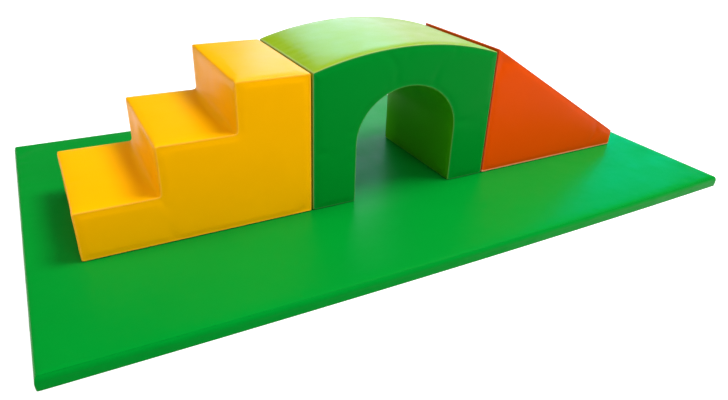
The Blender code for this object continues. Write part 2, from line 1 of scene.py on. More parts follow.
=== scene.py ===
"""Looks of a soft play foam climber: stairs, a tunnel bridge and a slide wedge on a floor mat.

Every padded piece is a block of foam in a cover sewn from vinyl panels. Each cover starts as a
closed skin over its foam, a cloth simulation puffs it out, and its panels are then cut apart and
tucked in along their seams. Lengths are in metres. +X runs from the stairs to the slide, +Y to the
back and +Z up.
"""

import json
from collections import namedtuple
from math import atan2, ceil, copysign, cos, exp, pi, radians, sin, sqrt, tan, tanh

import bmesh
import bpy
import numpy as np
from bpy.props import FloatProperty, FloatVectorProperty, PointerProperty
from bpy.types import Operator, Panel, PropertyGroup
from mathutils import Matrix, Vector, noise
from mathutils.geometry import delaunay_2d_cdt
from mathutils.kdtree import KDTree


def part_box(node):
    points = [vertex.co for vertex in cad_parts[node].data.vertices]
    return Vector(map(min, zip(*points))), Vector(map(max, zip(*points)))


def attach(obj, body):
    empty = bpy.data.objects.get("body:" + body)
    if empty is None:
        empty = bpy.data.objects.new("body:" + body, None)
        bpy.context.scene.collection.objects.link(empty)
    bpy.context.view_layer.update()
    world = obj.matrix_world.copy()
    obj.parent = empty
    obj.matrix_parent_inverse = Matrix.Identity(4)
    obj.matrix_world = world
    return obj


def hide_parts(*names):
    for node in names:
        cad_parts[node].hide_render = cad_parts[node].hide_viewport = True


bl_info = {
    "name": "Soft Play Foam Climber",
    "version": (1, 0, 0),
    "blender": (4, 5, 0),
    "location": "View3D > Sidebar > Climber",
    "description": "Dresses a foam climber in sewn vinyl covers, foam, zips and strips",
    "category": "Add Mesh",
}

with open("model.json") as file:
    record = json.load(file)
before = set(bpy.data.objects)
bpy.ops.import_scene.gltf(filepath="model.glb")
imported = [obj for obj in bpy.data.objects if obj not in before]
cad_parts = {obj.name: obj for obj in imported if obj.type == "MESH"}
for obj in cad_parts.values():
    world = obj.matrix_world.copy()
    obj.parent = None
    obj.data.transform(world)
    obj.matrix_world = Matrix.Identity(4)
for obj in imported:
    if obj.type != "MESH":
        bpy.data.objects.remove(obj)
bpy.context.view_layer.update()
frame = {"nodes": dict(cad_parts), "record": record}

# How many steps the stairs have
STEP_COUNT = 3

# How finely the curves are drawn
FILLET_STEPS = 4
SIDE_ARC_STEPS = 1
BAND_ARC_STEPS = 2
ARCH_STEPS = 40
BOW_STEPS = 12
OPENING_STEPS = 36
COIL_TURN_STEPS = 8
WIRE_CORNERS = 6

# Points that are closer than this are one point
MERGE_DISTANCE = 1e-6

# Where the seam lies on a rounded edge, as a turn from the band towards the side
SEAM_TURN = radians(58)

# An outline's edge swells most in the middle of its band, and less towards the sides
BAND_SWELL_POWER = 4

# How many times slower a corner grows soft than its outline moves inwards
SOFTENING_RATE = 3

# The cloth of the covers, which grows a little while the air in it puffs it out
SIM_FRAMES = 20
CLOTH_STIFFNESS = 40
CLOTH_BENDING = 2
CLOTH_GROWTH_SHARE = 0.008

# The raised line beside a seam, as shares of its width and height
WELT_CREST_SHARE = 0.2
WELT_SHOULDER_SHARE = 0.75

# How much of the way into a panel has to be square to its border, so that this part is taken
LEAST_SQUARE_SHARE = 1 / 3

# How quickly the tufts of fuzz differ from their neighbours
TUFT_SCALE = 3.7

# A stitch: how far along it, how thick and how high over the cover it is, as shares
STITCH_ARC = ((-1, 0.4, -0.5), (-0.55, 1, 0.25), (0, 1, 0.45), (0.55, 1, 0.25), (1, 0.4, -0.5))

# The panels of each padded piece: the two sides, then the band from its first corner on
PANELS = {
    "mat": "base_panel top_panel side_band".split(),
    "stairs": "front_panel rear_panel base_panel end_panel tread_cover".split(),
    "tunnel": (
        "front_panel rear_panel left_base_panel lining "
        "right_base_panel right_end_panel top_cover left_end_panel"
    ).split(),
    "slide": "front_panel rear_panel base_panel toe_panel slope_cover end_panel".split(),
}

# The patterns of the finishes. Pairs give the size of a pattern and the height of its relief
VINYL_TONES = 0.35
VINYL_PATCHES = 0.12
VINYL_WAVES = (0.07, 0.002)
VINYL_GRAIN = (0.0014, 0.00025)
ANTI_SLIP_PATCHES = 0.02
ANTI_SLIP_DOTS = (0.007, 0.0006)
FOAM_TONES = 0.02
FOAM_LUMPS = (0.008, 0.001)
FOAM_CELLS = (0.0016, 0.0008)
STRIP_LOOPS = (0.0018, 0.001)
TAPE_WEAVE = (0.004, 0.0003)
THREAD_TWIST = (0.0012, 0.0001)
METAL_PATCHES = (0.003, 0.0001)

# The shares of its tint that each finish goes between, and how rough it is
TONE_SHARES = {
    "vinyl": (0.94, 1.05),
    "anti_slip": (0.8, 1.9),
    "foam": (0.85, 1.1),
    "strip": (2.2, 0.6),
    "tape": (0.7, 1.8),
    "thread": (0.8, 1.15),
    "metal": (0.85, 1.15),
}
ROUGHNESS = {
    "anti_slip": (0.6, 0.8),
    "foam": (0.9, 1.0),
    "strip": (0.85, 1.0),
    "tape": (0.7, 0.9),
    "thread": (0.55, 0.7),
    "metal": (0.22, 0.4),
}
VINYL_GLOSS_SPREAD = (-0.04, 0.05)

# The values that noise and cells mostly have, and how strong a relief is
NOISE_SPAN = (0.3, 0.7)
CELL_SPAN = (0.0, 0.6)
DOT_SPAN = (0.2, 0.3)
RELIEF_SHARE = 0.8
LUMP_RELIEF_SHARE = 0.5
METAL_RELIEF_SHARE = 0.4
VINYL_RELIEF_SHARE = 0.35

# How the vinyls differ from one another. The share that pales each vinyl at its seams stands partly
# for wear and partly for a painted highlight on the seam's edge, most on the lime
VINYLS = {
    "yellow_vinyl": {"shine": 0.04},
    "dark_green_vinyl": {},
    "lime_vinyl": {"worn_and_highlight": 0.35},
    # The lining's finish uses a darker, greener copy of the lime: painted shade
    "lining_vinyl": {"worn_and_highlight": 0.2},
    # The orange gets a painted highlight along the slide's base
    "orange_vinyl": {"scuff": True},
    "mat_green_vinyl": {"gloss": 0.4, "shine": 0.1, "worn_and_highlight": 0.0},
}
PALE_THREAD_SHARE = 0.25

# Paled seam edges, partly wear and partly painted highlight: how far from a seam and how much; then
# the painted highlight along the slide's base: how high over that base, how far from its seam and how
# much
WEAR_AND_HIGHLIGHT_REACH = 0.006
WEAR_AND_HIGHLIGHT_SHARE = 0.45
BASE_HIGHLIGHT_HEIGHTS = (0.01, 0.016)
BASE_HIGHLIGHT_REACHES = (0.004, 0.009)
BASE_HIGHLIGHT_SHARE = 0.8

# A corner of an outline. The edge after it swells in its middle. Panels meet at a seam corner.
Corner = namedtuple("Corner", "spot radius swell seam")

# A point of an outline as it is drawn, the direction out of the form there, and its swelling
Spot = namedtuple("Spot", "place outward swell seam")

# A padded form: its outline, the middle and half of its depth, and where its band has rings
Form = namedtuple("Form", "corners steps middle half_depth edge_radii inner_fill band upright")

# A padded piece: its form, its cover's panels, how far each may puff out, and the boxes in
# which its cover stays flat, the zip's opening first
Block = namedtuple("Block", "name form panels limits flat_boxes")

# A soft lamp, and whether the covers mirror it
Lamp = namedtuple("Lamp", "name place size tint mirrored")
LAMPS = (
    Lamp("key", (2.6, -1.0, 7.0), (3.0, 3.0), (1, 1, 1), True),
    Lamp("fill", (0.2, -6.5, 2.8), (4.0, 3.0), (1, 0.82, 0.8), True),
    Lamp("low_sheen", (2.8, 4.9, 1.8), (3.4, 0.8), (0.8, 0.6, 1), True),
    Lamp("high_sheen", (1.9, 4.6, 2.85), (2.2, 1.4), (0.2, 0.78, 0.95), True),
    Lamp("side", (7.9, 4.5, 2.95), (3.1, 1.7), (0, 1, 1), True),
    Lamp("left", (-5.0, 0.4, 1.1), (2.0, 1.2), (1, 0.8, 0.6), False),
)
LAMP_TARGET = Vector((0, 0, 0.3))

# How bright the sky is from the horizon to straight overhead
SKY_LEVELS = ((0.0, 1.0), (0.05, 0.9), (0.14, 0.12), (0.62, 0.12), (0.8, 0.9), (1.0, 1.15))


# Sizes and colours


def metres(name, text, value):
    return FloatProperty(name=name, description=text, default=value, unit="LENGTH", precision=4)


def angle(name, text, value):
    return FloatProperty(name=name, description=text, default=value, unit="ROTATION")


def power(name, text, value):
    return FloatProperty(name=name, description=text, default=value, unit="POWER", min=0)


def share(name, text, value):
    return FloatProperty(name=name, description=text, default=value, subtype="FACTOR", min=0)


def colour(name, text, value):
    return FloatVectorProperty(
        name=name, description=text, default=value, subtype="COLOR", size=3, min=0, max=1
    )


class ClimberShapes(PropertyGroup):
    """Sizes of the padded pieces that their foam's boxes don't give."""

    core_gap: metres("Core gap", "From the foam's box to the outside of its cover", 0.0015)
    step_rise: metres("Step rise", "Height of one step", 0.203)
    arch_rise: metres("Arch rise", "How far the tunnel's top rises over its ends", 0.07)
    opening_width: metres("Opening width", "Width of the tunnel's opening", 0.511)
    opening_spring: metres("Opening spring", "Height at which the opening's arch starts", 0.276)
    opening_arch_rise: metres("Opening arch", "Height of the opening's arch", 0.228)
    slide_top_lip: metres("Slide lip", "How far the slide's top is over the stairs' top", 0.016)
    slide_toe: metres("Slide toe", "Height of the slide's low end", 0.083)
    edge_radius: metres("Block edge", "Rounding along the sides of a block", 0.006)
    corner_radius: metres("Block corner", "Rounding of a block's outline", 0.008)
    inner_radius: metres("Inner corner", "Rounding where a riser meets a tread", 0.012)
    inner_fill: metres("Inner fill", "How much rounder that corner is between the sides", 0.035)
    foot_radius: metres("Foot corner", "Rounding of the tunnel's feet at the opening", 0.008)
    slide_top_radius: metres("Slide top", "Rounding of the slide's top edge", 0.006)
    mat_edge_radius: metres("Mat edge", "Rounding along the mat's top", 0.020)
    mat_base_radius: metres("Mat base edge", "Rounding along the mat's underside", 0.005)
    mat_corner_radius: metres("Mat corner", "Rounding of the mat's four corners", 0.008)
    mat_bow: metres("Mat bow", "How far the middle of the mat's front edge swells out", 0.018)
    mat_bulge: metres("Mat bulge", "How far the mat's left end swells over its foam's box", 0.012)
    riser_pull: metres("Riser pull", "How far the middle of a riser is drawn in", 0.010)
    tread_crown: metres("Tread crown", "How far the middle of a tread rises", 0.002)
    stairs_bulge: metres("Stairs bulge", "How far the first step swells over its foam's box", 0.010)


class ClimberCovers(PropertyGroup):
    """Sizes of the covers' fabric and of its padding."""

    vinyl: metres("Vinyl", "Thickness of the coated fabric", 0.0012)
    spacing: metres("Mesh spacing", "Size of a face on a cover before it is smoothed", 0.024)
    mat_spacing: metres("Mat spacing", "Size of a face on the mat before it is smoothed", 0.034)
    border: metres("Border", "Width over which a panel rises from its seam", 0.024)
    load_reach: metres("Load reach", "Width over which the mat rises beside a block", 0.14)
    puff: metres("Puff", "How far a cover may stand off its foam", 0.0035)
    lining_puff: metres("Lining puff", "How far the tunnel's lining may stand off", 0.003)
    mat_puff: metres("Mat puff", "How far the mat's cover may stand off its foam", 0.0025)
    pucker: metres("Pucker", "Height of the ripples beside a seam", 0.0007)
    pucker_reach: metres("Pucker reach", "How far the ripples reach from a seam", 0.016)
    ripple_length: metres("Ripple length", "Distance between ripples along a seam", 0.03)
    foam_depth: metres("Foam depth", "How far the foam lies under the outside", 0.0045)
    foam_spacing: metres("Foam spacing", "Size of a face on the foam", 0.06)
    pressure: FloatProperty(
        name="Pressure", description="Pressure that puffs the covers out", default=4.0, min=0
    )
    fill: share("Fill", "How tightly the foam fills its cover", 0.95)


class ClimberSeams(PropertyGroup):
    """Sizes of the seams, the zips and the strips."""

    welt_width: metres("Welt width", "Width of the raised line beside a seam", 0.0032)
    welt_height: metres("Welt height", "Height of the raised line beside a seam", 0.0006)
    tuck: metres("Tuck", "How deep a panel's edge is turned into its seam", 0.0036)
    gap: metres("Gap", "Space between two panels in a seam", 0.0003)
    zip_slot: metres("Zip slot", "Half the width of the opening over a zip", 0.007)
    tape_width: metres("Tape width", "Width of a zip's tape", 0.018)
    tape_thickness: metres("Tape thickness", "Thickness of a zip's tape", 0.0004)
    tape_sink: metres("Tape sink", "How far the tape lies under the cover's face", 0.0007)
    coil_margin: metres("Coil margin", "Bare tape at the start of a zip", 0.004)
    coil_stop: metres("Coil stop", "From the closed end of the tape to the coil", 0.0084)
    coil_pitch: metres("Coil pitch", "Distance from one turn of a zip's coil to the next", 0.0024)
    coil_wire: metres("Coil wire", "Diameter of the coil's wire", 0.0008)
    coil_width: metres("Coil width", "Width of one side's coil", 0.0034)
    coil_height: metres("Coil height", "Height of the coil over the cover's face", 0.0022)
    stitch_length: metres("Stitch length", "Length of one stitch", 0.0034)
    stitch_pitch: metres("Stitch pitch", "Distance from one stitch to the next", 0.0046)
    stitch_margin: metres("Stitch margin", "From the raised line to the stitches", 0.0012)
    thread: metres("Thread", "Diameter of the sewing thread", 0.0007)
    nap: metres("Nap", "Height of the fuzz on the hook-and-loop strips", 0.0006)
    nap_spacing: metres("Nap spacing", "Distance between tufts of the fuzz", 0.0022)


class ClimberColours(PropertyGroup):
    """Colours of the finishes."""

    yellow: colour("Yellow", "The stairs", (0.97, 0.47, 0.0))
    dark_green: colour("Dark green", "The tunnel's sides", (0.0, 0.25, 0.022))
    lime: colour("Lime", "The tunnel's top", (0.27, 0.44, 0.003))
    # Painted shade: the lining is the lime vinyl, and this darker, greener copy of the lime stands
    # for its shade
    lining: colour("Lining", "The lining of the tunnel", (0.07, 0.42, 0.002))
    orange: colour("Orange", "The slide", (0.79, 0.08, 0.0))
    mat_green: colour("Mat green", "The mat", (0.0, 0.278, 0.024))
    # Painted highlight: the colour of the pale band along the slide's base
    scuff: colour("Scuff", "Rubbed vinyl along the slide's base", (0.9, 0.42, 0.22))
    anti_slip: colour("Anti-slip", "The undersides", (0.03, 0.03, 0.032))
    foam: colour("Foam", "The foam blocks", (0.72, 0.7, 0.62))
    strip: colour("Strip", "The hook-and-loop strips", (0.02, 0.02, 0.02))
    tape: colour("Zip tape", "The tapes and coils of the zips", (0.015, 0.015, 0.017))
    metal: colour("Zip metal", "The sliders and pulls", (0.5, 0.5, 0.48))


class ClimberStage(PropertyGroup):
    """The camera, the lamps and the floor."""

    camera_place: FloatVectorProperty(
        name="Camera place",
        description="Where the camera stands",
        default=(-1.395, -2.410, 1.324),
        subtype="TRANSLATION",
        unit="LENGTH",
    )
    camera_heading: angle("Heading", "Turn of the camera from +Y towards +X", radians(29.94))
    camera_dip: angle("Dip", "How far the camera looks down", radians(28.29))
    camera_roll: angle("Roll", "How far the camera leans", radians(2.50))
    lens: FloatProperty(
        name="Lens", description="Focal length", default=29.27, subtype="DISTANCE_CAMERA"
    )
    key_power: power("Key", "Lamp at the upper right", 500)
    fill_power: power("Fill", "Lamp at the front", 240)
    low_sheen_power: power("Low sheen", "Lamp at the rear that the treads mirror", 42)
    high_sheen_power: power("High sheen", "Lamp over it that the arch mirrors", 48)
    side_power: power("Side", "Lamp at the rear right that the mat mirrors", 120)
    left_power: power("Left", "Lamp at the left that lights the risers", 65)
    sky: share("Sky", "Strength of the light from all round", 0.6)
    floor_size: metres("Floor size", "Length of the floor's sides", 80.0)
    floor_glow: share("Floor glow", "How much the floor is lifted to white", 0.88)


# Outlines with rounded corners, which run anticlockwise


def flat_arc(height, along):
    """How high a flat arc stands at a share of its length."""
    return height * (1 - (2 * along - 1) ** 2)


def left_of(direction):
    return Vector((-direction.y, direction.x))


def directions(corners, index):
    """The directions in which the outline arrives at a corner and leaves it."""
    here = corners[index].spot
    arriving = (here - corners[index - 1].spot).normalized()
    leaving = (corners[(index + 1) % len(corners)].spot - here).normalized()
    return arriving, leaving


def turn_at(corners, index):
    arriving, leaving = directions(corners, index)
    return atan2(arriving.cross(leaving), arriving.dot(leaving))


def rounding_reach(corners, index):
    return corners[index].radius * tan(abs(turn_at(corners, index)) / 2)


def inset_radius(corner, turn, inset, form, swelling):
    """A corner's radius on an inset outline. Far inwards the corners grow soft again."""
    if not corner.radius:
        return 0.0
    if turn < 0:
        return corner.radius + inset + swelling * form.inner_fill
    beyond = max(0.0, inset - max(form.edge_radii))
    return max(corner.radius - inset, corner.radius / FILLET_STEPS) + beyond / SOFTENING_RATE


def inset_corners(form, inset, swelling):
    """The corners with every edge moved inwards by the same distance."""
    corners = form.corners
    moved = []
    for index, corner in enumerate(corners):
        arriving, leaving = directions(corners, index)
        inward = left_of(arriving) + left_of(leaving)
        spot = corner.spot + inward * inset / (1 + arriving.dot(leaving))
        radius = inset_radius(corner, arriving.cross(leaving), inset, form, swelling)
        moved.append(corner._replace(spot=spot, radius=radius))
    return moved


def corner_spots(corners, index):
    """The points of one rounded corner, or the one point of a place along a curve."""
    corner = corners[index]
    arriving, leaving = directions(corners, index)
    if not corner.radius:
        outward = -left_of(arriving + leaving).normalized()
        return [Spot(corner.spot, outward, corner.swell, corner.seam)]
    outward = -left_of(arriving)
    turn = turn_at(corners, index)
    radius = copysign(corner.radius, turn)
    centre = corner.spot - arriving * rounding_reach(corners, index) - outward * radius
    spots = []
    for step in range(FILLET_STEPS + 1):
        normal = Matrix.Rotation(turn * step / FILLET_STEPS, 2) @ outward
        seam = corner.seam and step == FILLET_STEPS // 2
        spots.append(Spot(centre + normal * radius, normal, 0.0, seam))
    return spots


def edge_spots(corners, index, steps):
    """The points that divide the edge after a corner, with the most swell at its middle."""
    corner = corners[index]
    after = (index + 1) % len(corners)
    leaving = directions(corners, index)[1]
    start = corner.spot + leaving * rounding_reach(corners, index)
    end = corners[after].spot - leaving * rounding_reach(corners, after)
    spots = []
    for step in range(1, steps):
        along = step / steps
        swell = flat_arc(corner.swell, along)
        spots.append(Spot(start.lerp(end, along), -left_of(leaving), swell, False))
    return spots


def edge_steps(corners, spacing):
    """How many steps each edge is drawn in."""
    steps = []
    for index in range(len(corners)):
        after = (index + 1) % len(corners)
        whole = (corners[after].spot - corners[index].spot).length
        straight = whole - rounding_reach(corners, index) - rounding_reach(corners, after)
        steps.append(max(1, ceil(straight / spacing)))
    return steps


def outline(form, inset, swelling=0.0):
    """The points round a form's outline, moved inwards, from its first corner on."""
    corners = inset_corners(form, inset, swelling)
    spots = []
    for index, steps in enumerate(form.steps):
        spots += corner_spots(corners, index) + edge_spots(corners, index, steps)
    return spots


# Skins over padded forms


def raised(form, place, across):
    """A point of the outline's plane in space, at a distance across the form."""
    if form.upright:
        return Vector((place.x, form.middle + across, place.y))
    return Vector((place.x, place.y, form.middle + across))


def flattened(form, point):
    return Vector((point.x, point.z)) if form.upright else Vector((point.x, point.y))


def ring(form, inset, across, swelling=0.0):
    """The outline at one place across the form, with its swelling edges pushed out."""
    return [
        raised(form, spot.place + spot.outward * spot.swell * swelling, across)
        for spot in outline(form, inset, swelling)
    ]


def edge_ring(form, depth, turn, side):
    """A ring on the rounded edge, from the band at no turn to the side at a quarter turn."""
    edge = form.edge_radii[side > 0]
    radius = max(edge - depth, edge / FILLET_STEPS)
    inset = depth + radius * (1 - cos(turn))
    return ring(form, inset, side * (form.half_depth - depth - radius * (1 - sin(turn))))


def even_band(half_depth, edge_radius, spacing):
    """Where the rings of a band lie across it, evenly spread."""
    half = half_depth - edge_radius
    count = max(2, ceil(2 * half / spacing))
    return [half * (2 * step / count - 1) for step in range(1, count)]


def side_half(form, depth, insets, side):
    """The rings of one side, from the middle of the side to its seam."""
    face = side * (form.half_depth - depth)
    rings = [ring(form, inset, face) for inset in reversed(insets)]
    for step in range(SIDE_ARC_STEPS + 1):
        turn = pi / 2 + (SEAM_TURN - pi / 2) * step / SIDE_ARC_STEPS
        rings.append(edge_ring(form, depth, turn, side))
    return rings


def skin_rings(form, depth, insets):
    """All rings of a skin from one side to the other, and how many belong to each side."""
    near = side_half(form, depth, insets, -1)
    far = side_half(form, depth, insets, 1)
    arc = [SEAM_TURN * step / BAND_ARC_STEPS for step in reversed(range(BAND_ARC_STEPS))]
    half = form.half_depth - max(form.edge_radii)
    rings = near + [edge_ring(form, depth, turn, -1) for turn in arc]
    rings += [ring(form, depth, place, 1 - (place / half) ** BAND_SWELL_POWER) for place in form.band]
    rings += [edge_ring(form, depth, turn, 1) for turn in reversed(arc)]
    return rings + list(reversed(far)), len(near)


def distance_to_outline(points, border):
    """How far each point is from a closed line, and whether it lies inside it."""
    after = np.roll(border, -1, axis=0)
    step = after - border
    offset = points[:, None, :] - border[None]
    along = np.clip((offset * step).sum(2) / (step**2).sum(1), 0, 1)
    near = np.linalg.norm(offset - along[..., None] * step, axis=2).min(1)
    crosses = (border[:, 1] > points[:, 1:2]) != (after[:, 1] > points[:, 1:2])
    rise = np.where(step[:, 1] == 0, 1, step[:, 1])
    crossing = border[:, 0] + (points[:, 1:2] - border[:, 1]) / rise * step[:, 0]
    inside = (crosses & (points[:, :1] < crossing)).sum(1) % 2 == 1
    return near, inside


def net_points(border, spacing):
    """A net of evenly spread points inside a closed line, clear of the line itself."""
    low, high = border.min(0), border.max(0)
    rows = np.arange(low[1], high[1], spacing * sqrt(3) / 2)
    points = np.array([
        (along, up)
        for number, up in enumerate(rows)
        for along in np.arange(low[0] + spacing / 2 * (number % 2), high[0], spacing)
    ])
    near, inside = distance_to_outline(points, border)
    return points[inside & (near > spacing / 2)]


def fill_side(shape, verts, form, spacing, label):
    """Fills the middle of a side with a net of small faces."""
    border = np.array([flattened(form, vert.co) for vert in verts])
    spots = [Vector(spot) for spot in (*border, *net_points(border, spacing))]
    loop = [list(range(len(verts)))]
    places, _, faces, origins, _, _ = delaunay_2d_cdt(spots, [], loop, 1, MERGE_DISTANCE)
    across = (verts[0].co.y if form.upright else verts[0].co.z) - form.middle
    made = []
    for place, origin in zip(places, origins):
        known = [index for index in origin if index < len(verts)]
        made.append(verts[known[0]] if known else shape.verts.new(raised(form, place, across)))
    for corners in faces:
        face = shape.faces.new([made[index] for index in corners])
        face.material_index = label


def band_labels(form, first):
    """The label of the band panel after each point of the outline."""
    spots = outline(form, 0)
    seams = max(1, sum(spot.seam for spot in spots))
    labels = []
    passed = 0
    for spot in spots:
        passed += spot.seam
        labels.append(first + (passed - 1) % seams)
    return labels


def build_skin(form, spacing, insets, depth=0.0):
    """A closed skin. Its two sides have labels 0 and 1, and the band's panels follow."""
    shape = bmesh.new()
    rings, side_count = skin_rings(form, depth, insets)
    lines = [[shape.verts.new(point) for point in points] for points in rings]
    labels = band_labels(form, 2)
    for number, (near, far) in enumerate(zip(lines, lines[1:])):
        for step in range(len(near)):
            after = (step + 1) % len(near)
            face = shape.faces.new((near[step], near[after], far[after], far[step]))
            if number < side_count - 1:
                face.material_index = 0
            elif number >= len(lines) - side_count:
                face.material_index = 1
            else:
                face.material_index = labels[step]
    fill_side(shape, lines[0], form, spacing, 0)
    fill_side(shape, lines[-1], form, spacing, 1)
    bmesh.ops.recalc_face_normals(shape, faces=shape.faces)
    shape.normal_update()
    return shape


# Puffing a skin out


def borders_of(shape):
    """The vertices where panels meet."""
    return {
        vert
        for edge in shape.edges
        if len({face.material_index for face in edge.link_faces}) > 1
        for vert in edge.verts
    }


def add_cloth(skin, pinned, pressure):
    """Turns an object into cloth that the air in it puffs out, with some vertices held."""
    held = skin.vertex_groups.new(name="sewn")
    held.add([vert.index for vert in pinned], 1.0, "REPLACE")
    puff = skin.modifiers.new("puff", "CLOTH")
    puff.settings.vertex_group_mass = held.name
    puff.settings.use_pressure = True
    puff.settings.uniform_pressure_force = pressure
    puff.settings.effector_weights.gravity = 0
    puff.settings.tension_stiffness = CLOTH_STIFFNESS
    puff.settings.compression_stiffness = CLOTH_STIFFNESS
    puff.settings.bending_stiffness = CLOTH_BENDING
    puff.settings.shrink_min = -CLOTH_GROWTH_SHARE
    puff.collision_settings.use_collision = False
    puff.point_cache.frame_end = SIM_FRAMES


def simulate(shape, name, pinned, pressure):
    """Where the vertices of a closed skin go when it is puffed out."""
    mesh = bpy.data.meshes.new(name)
    shape.to_mesh(mesh)
    skin = bpy.data.objects.new(name, mesh)
    bpy.context.collection.objects.link(skin)
    add_cloth(skin, pinned, pressure)
    scene = bpy.context.scene
    for number in range(1, SIM_FRAMES + 1):
        scene.frame_set(number)
    settled = skin.evaluated_get(bpy.context.evaluated_depsgraph_get())
    places = [vert.co.copy() for vert in settled.data.vertices]
    bpy.data.objects.remove(skin)
    bpy.data.meshes.remove(mesh)
    scene.frame_set(1)
    return places


def seam_distances(verts, seam_points):
    """How far each vertex is from the nearest point of a seam."""
    tree = KDTree(len(seam_points))
    for number, point in enumerate(seam_points):
        tree.insert(point, number)
    tree.balance()
    return [tree.find(vert.co)[2] for vert in verts]


def distance_to_box(point, box):
    low, high = box
    beyond = [max(low[axis] - point[axis], 0, point[axis] - high[axis]) for axis in range(3)]
    return Vector(beyond).length


def room_at(vert, block, sizes):
    """How far a vertex may move off the foam. It stays put at its zip and under a block."""
    reaches = [sizes.border] + [sizes.load_reach] * (len(block.flat_boxes) - 1)
    clear = min(
        distance_to_box(vert.co, box) / reach for box, reach in zip(block.flat_boxes, reaches)
    )
    clear = min(1, clear)
    room = min(block.limits[face.material_index] for face in vert.link_faces)
    return room * clear**2 * (3 - 2 * clear)


def puff_out(shape, block, sizes):
    """Puffs a cover out over its foam, and draws small ripples beside its seams."""
    shape.verts.index_update()
    borders = borders_of(shape)
    reaches = seam_distances(shape.verts, [vert.co for vert in shape.verts if vert in borders])
    rooms = [room_at(vert, block, sizes) for vert in shape.verts]
    starts = [vert.co.copy() for vert in shape.verts]
    normals = [vert.normal.copy() for vert in shape.verts]
    held = [vert for vert in shape.verts if vert in borders or not rooms[vert.index]]
    places = simulate(shape, f"{block.name}_skin", held, sizes.pressure)
    for vert in shape.verts:
        index = vert.index
        if vert in borders or not rooms[index]:
            continue
        drift = places[index] - starts[index]
        rise = min(1, reaches[index] / sizes.border)
        kept = rooms[index] * tanh(drift.length / rooms[index]) * rise
        ripple = noise.noise(starts[index] / sizes.ripple_length)
        pucker = sizes.pucker * ripple * exp(-reaches[index] / sizes.pucker_reach) * rise
        vert.co += drift.normalized() * kept + normals[index] * pucker
    shape.normal_update()


# Cutting a skin apart into sewn panels


def copy_panel(skin, label, gone):
    """A bmesh with one panel's faces, and the skin's normal at each of its vertices."""
    shape = bmesh.new()
    made = {}
    normals = {}
    for face in skin.faces:
        if face.material_index != label or face in gone:
            continue
        for vert in face.verts:
            if vert not in made:
                made[vert] = shape.verts.new(vert.co)
                normals[made[vert]] = vert.normal.copy()
        shape.faces.new([made[vert] for vert in face.verts])
    shape.normal_update()
    return shape, normals


def inward_at(vert, normal):
    """The direction from a panel's border into the panel, along its surface."""
    ends = [edge.other_vert(vert).co for edge in vert.link_edges if edge.is_boundary]
    middle = sum((face.calc_center_median() for face in vert.link_faces), Vector())
    inward = middle / len(vert.link_faces) - vert.co
    inward -= normal * inward.dot(normal)
    if len(ends) == 2:
        along = (ends[1] - ends[0]).normalized()
        straight = inward - along * inward.dot(along)
        if straight.length > inward.length * LEAST_SQUARE_SHARE:
            inward = straight
    return inward.normalized()


def tuck_in(shape, normals, seams):
    """Gives a panel's border a raised line beside the seam and turns it down into the seam."""
    width, height = seams.welt_width, seams.welt_height
    profile = (
        (width / 2, height * WELT_SHOULDER_SHARE),
        (width * WELT_CREST_SHARE, height),
        (seams.gap, height / 2),
        (seams.gap / 2, -height / 2),
        (seams.gap / 2, -seams.tuck),
    )
    border = [vert for vert in shape.verts if vert.is_boundary]
    edges = [edge for edge in shape.edges if edge.is_boundary]
    starts = {vert: vert.co.copy() for vert in border}
    inwards = {vert: inward_at(vert, normals[vert]) for vert in border}
    rows = [{vert: vert for vert in border}]
    for back, up in profile:
        rows.append({
            vert: shape.verts.new(starts[vert] + inwards[vert] * back + normals[vert] * up)
            for vert in border
        })
    for edge in edges:
        first = edge.link_loops[0].vert
        second = edge.other_vert(first)
        for near, far in zip(rows, rows[1:]):
            shape.faces.new((near[second], near[first], far[first], far[second]))
    for vert in border:
        vert.co += inwards[vert] * width


def mark_seams(mesh, points):
    """Stores on a mesh how far each of its points is from the panel's seams."""
    attribute = mesh.attributes.new("seam_distance", "FLOAT", "POINT")
    attribute.data.foreach_set("value", seam_distances(mesh.vertices, points))


def finish_piece(name, shape, body, slot, material, *nodes):
    """Turns a bmesh into a piece that rides on a body and stands for parts of the frame."""
    mesh = bpy.data.meshes.new(name)
    shape.to_mesh(mesh)
    shape.free()
    mesh.shade_smooth()
    mesh.materials.clear()
    mesh.materials.append(material)
    piece = bpy.data.objects.new(name, mesh)
    bpy.context.collection.objects.link(piece)
    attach(piece, body)
    if nodes:
        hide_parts(*nodes)
    return piece


def over_zip(face, block):
    """Whether a face of a cover lies over the opening for its zip."""
    middle = face.calc_center_median()
    return not distance_to_box(middle, block.flat_boxes[0])


def sew_panel(skin, block, label, sizes, seams):
    """One panel of a cover as a sheet of vinyl with tucked edges."""
    node = f"{block.name}_{block.panels[label]}"
    slot = slot_of(node)
    shape, normals = copy_panel(skin, label, {face for face in skin.faces if over_zip(face, block)})
    border = [vert.co.copy() for vert in shape.verts if vert.is_boundary]
    tuck_in(shape, normals, seams)
    # The tunnel's lining takes the darker, greener copy of the lime: painted shade
    finish = material_named("lining_vinyl" if node == "tunnel_lining" else slot)
    piece = finish_piece(f"sewn_{node}", shape, block.name, slot, finish, node)
    mark_seams(piece.data, border)
    smooth = piece.modifiers.new("smooth", "SUBSURF")
    smooth.levels = 1
    smooth.render_levels = 1
    sheet = piece.modifiers.new("sheet", "SOLIDIFY")
    sheet.thickness = sizes.vinyl
    sheet.offset = -1
    return piece


# Shader nodes


def add_node(tree, kind, inputs=None, **options):
    """Adds a node, sets its options and sets or links its inputs."""
    node = tree.nodes.new(kind)
    for option, value in options.items():
        setattr(node, option, value)
    for key, value in (inputs or {}).items():
        socket = node.inputs[key]
        if isinstance(value, bpy.types.NodeSocket):
            tree.links.new(value, socket)
        else:
            socket.default_value = value
    return node


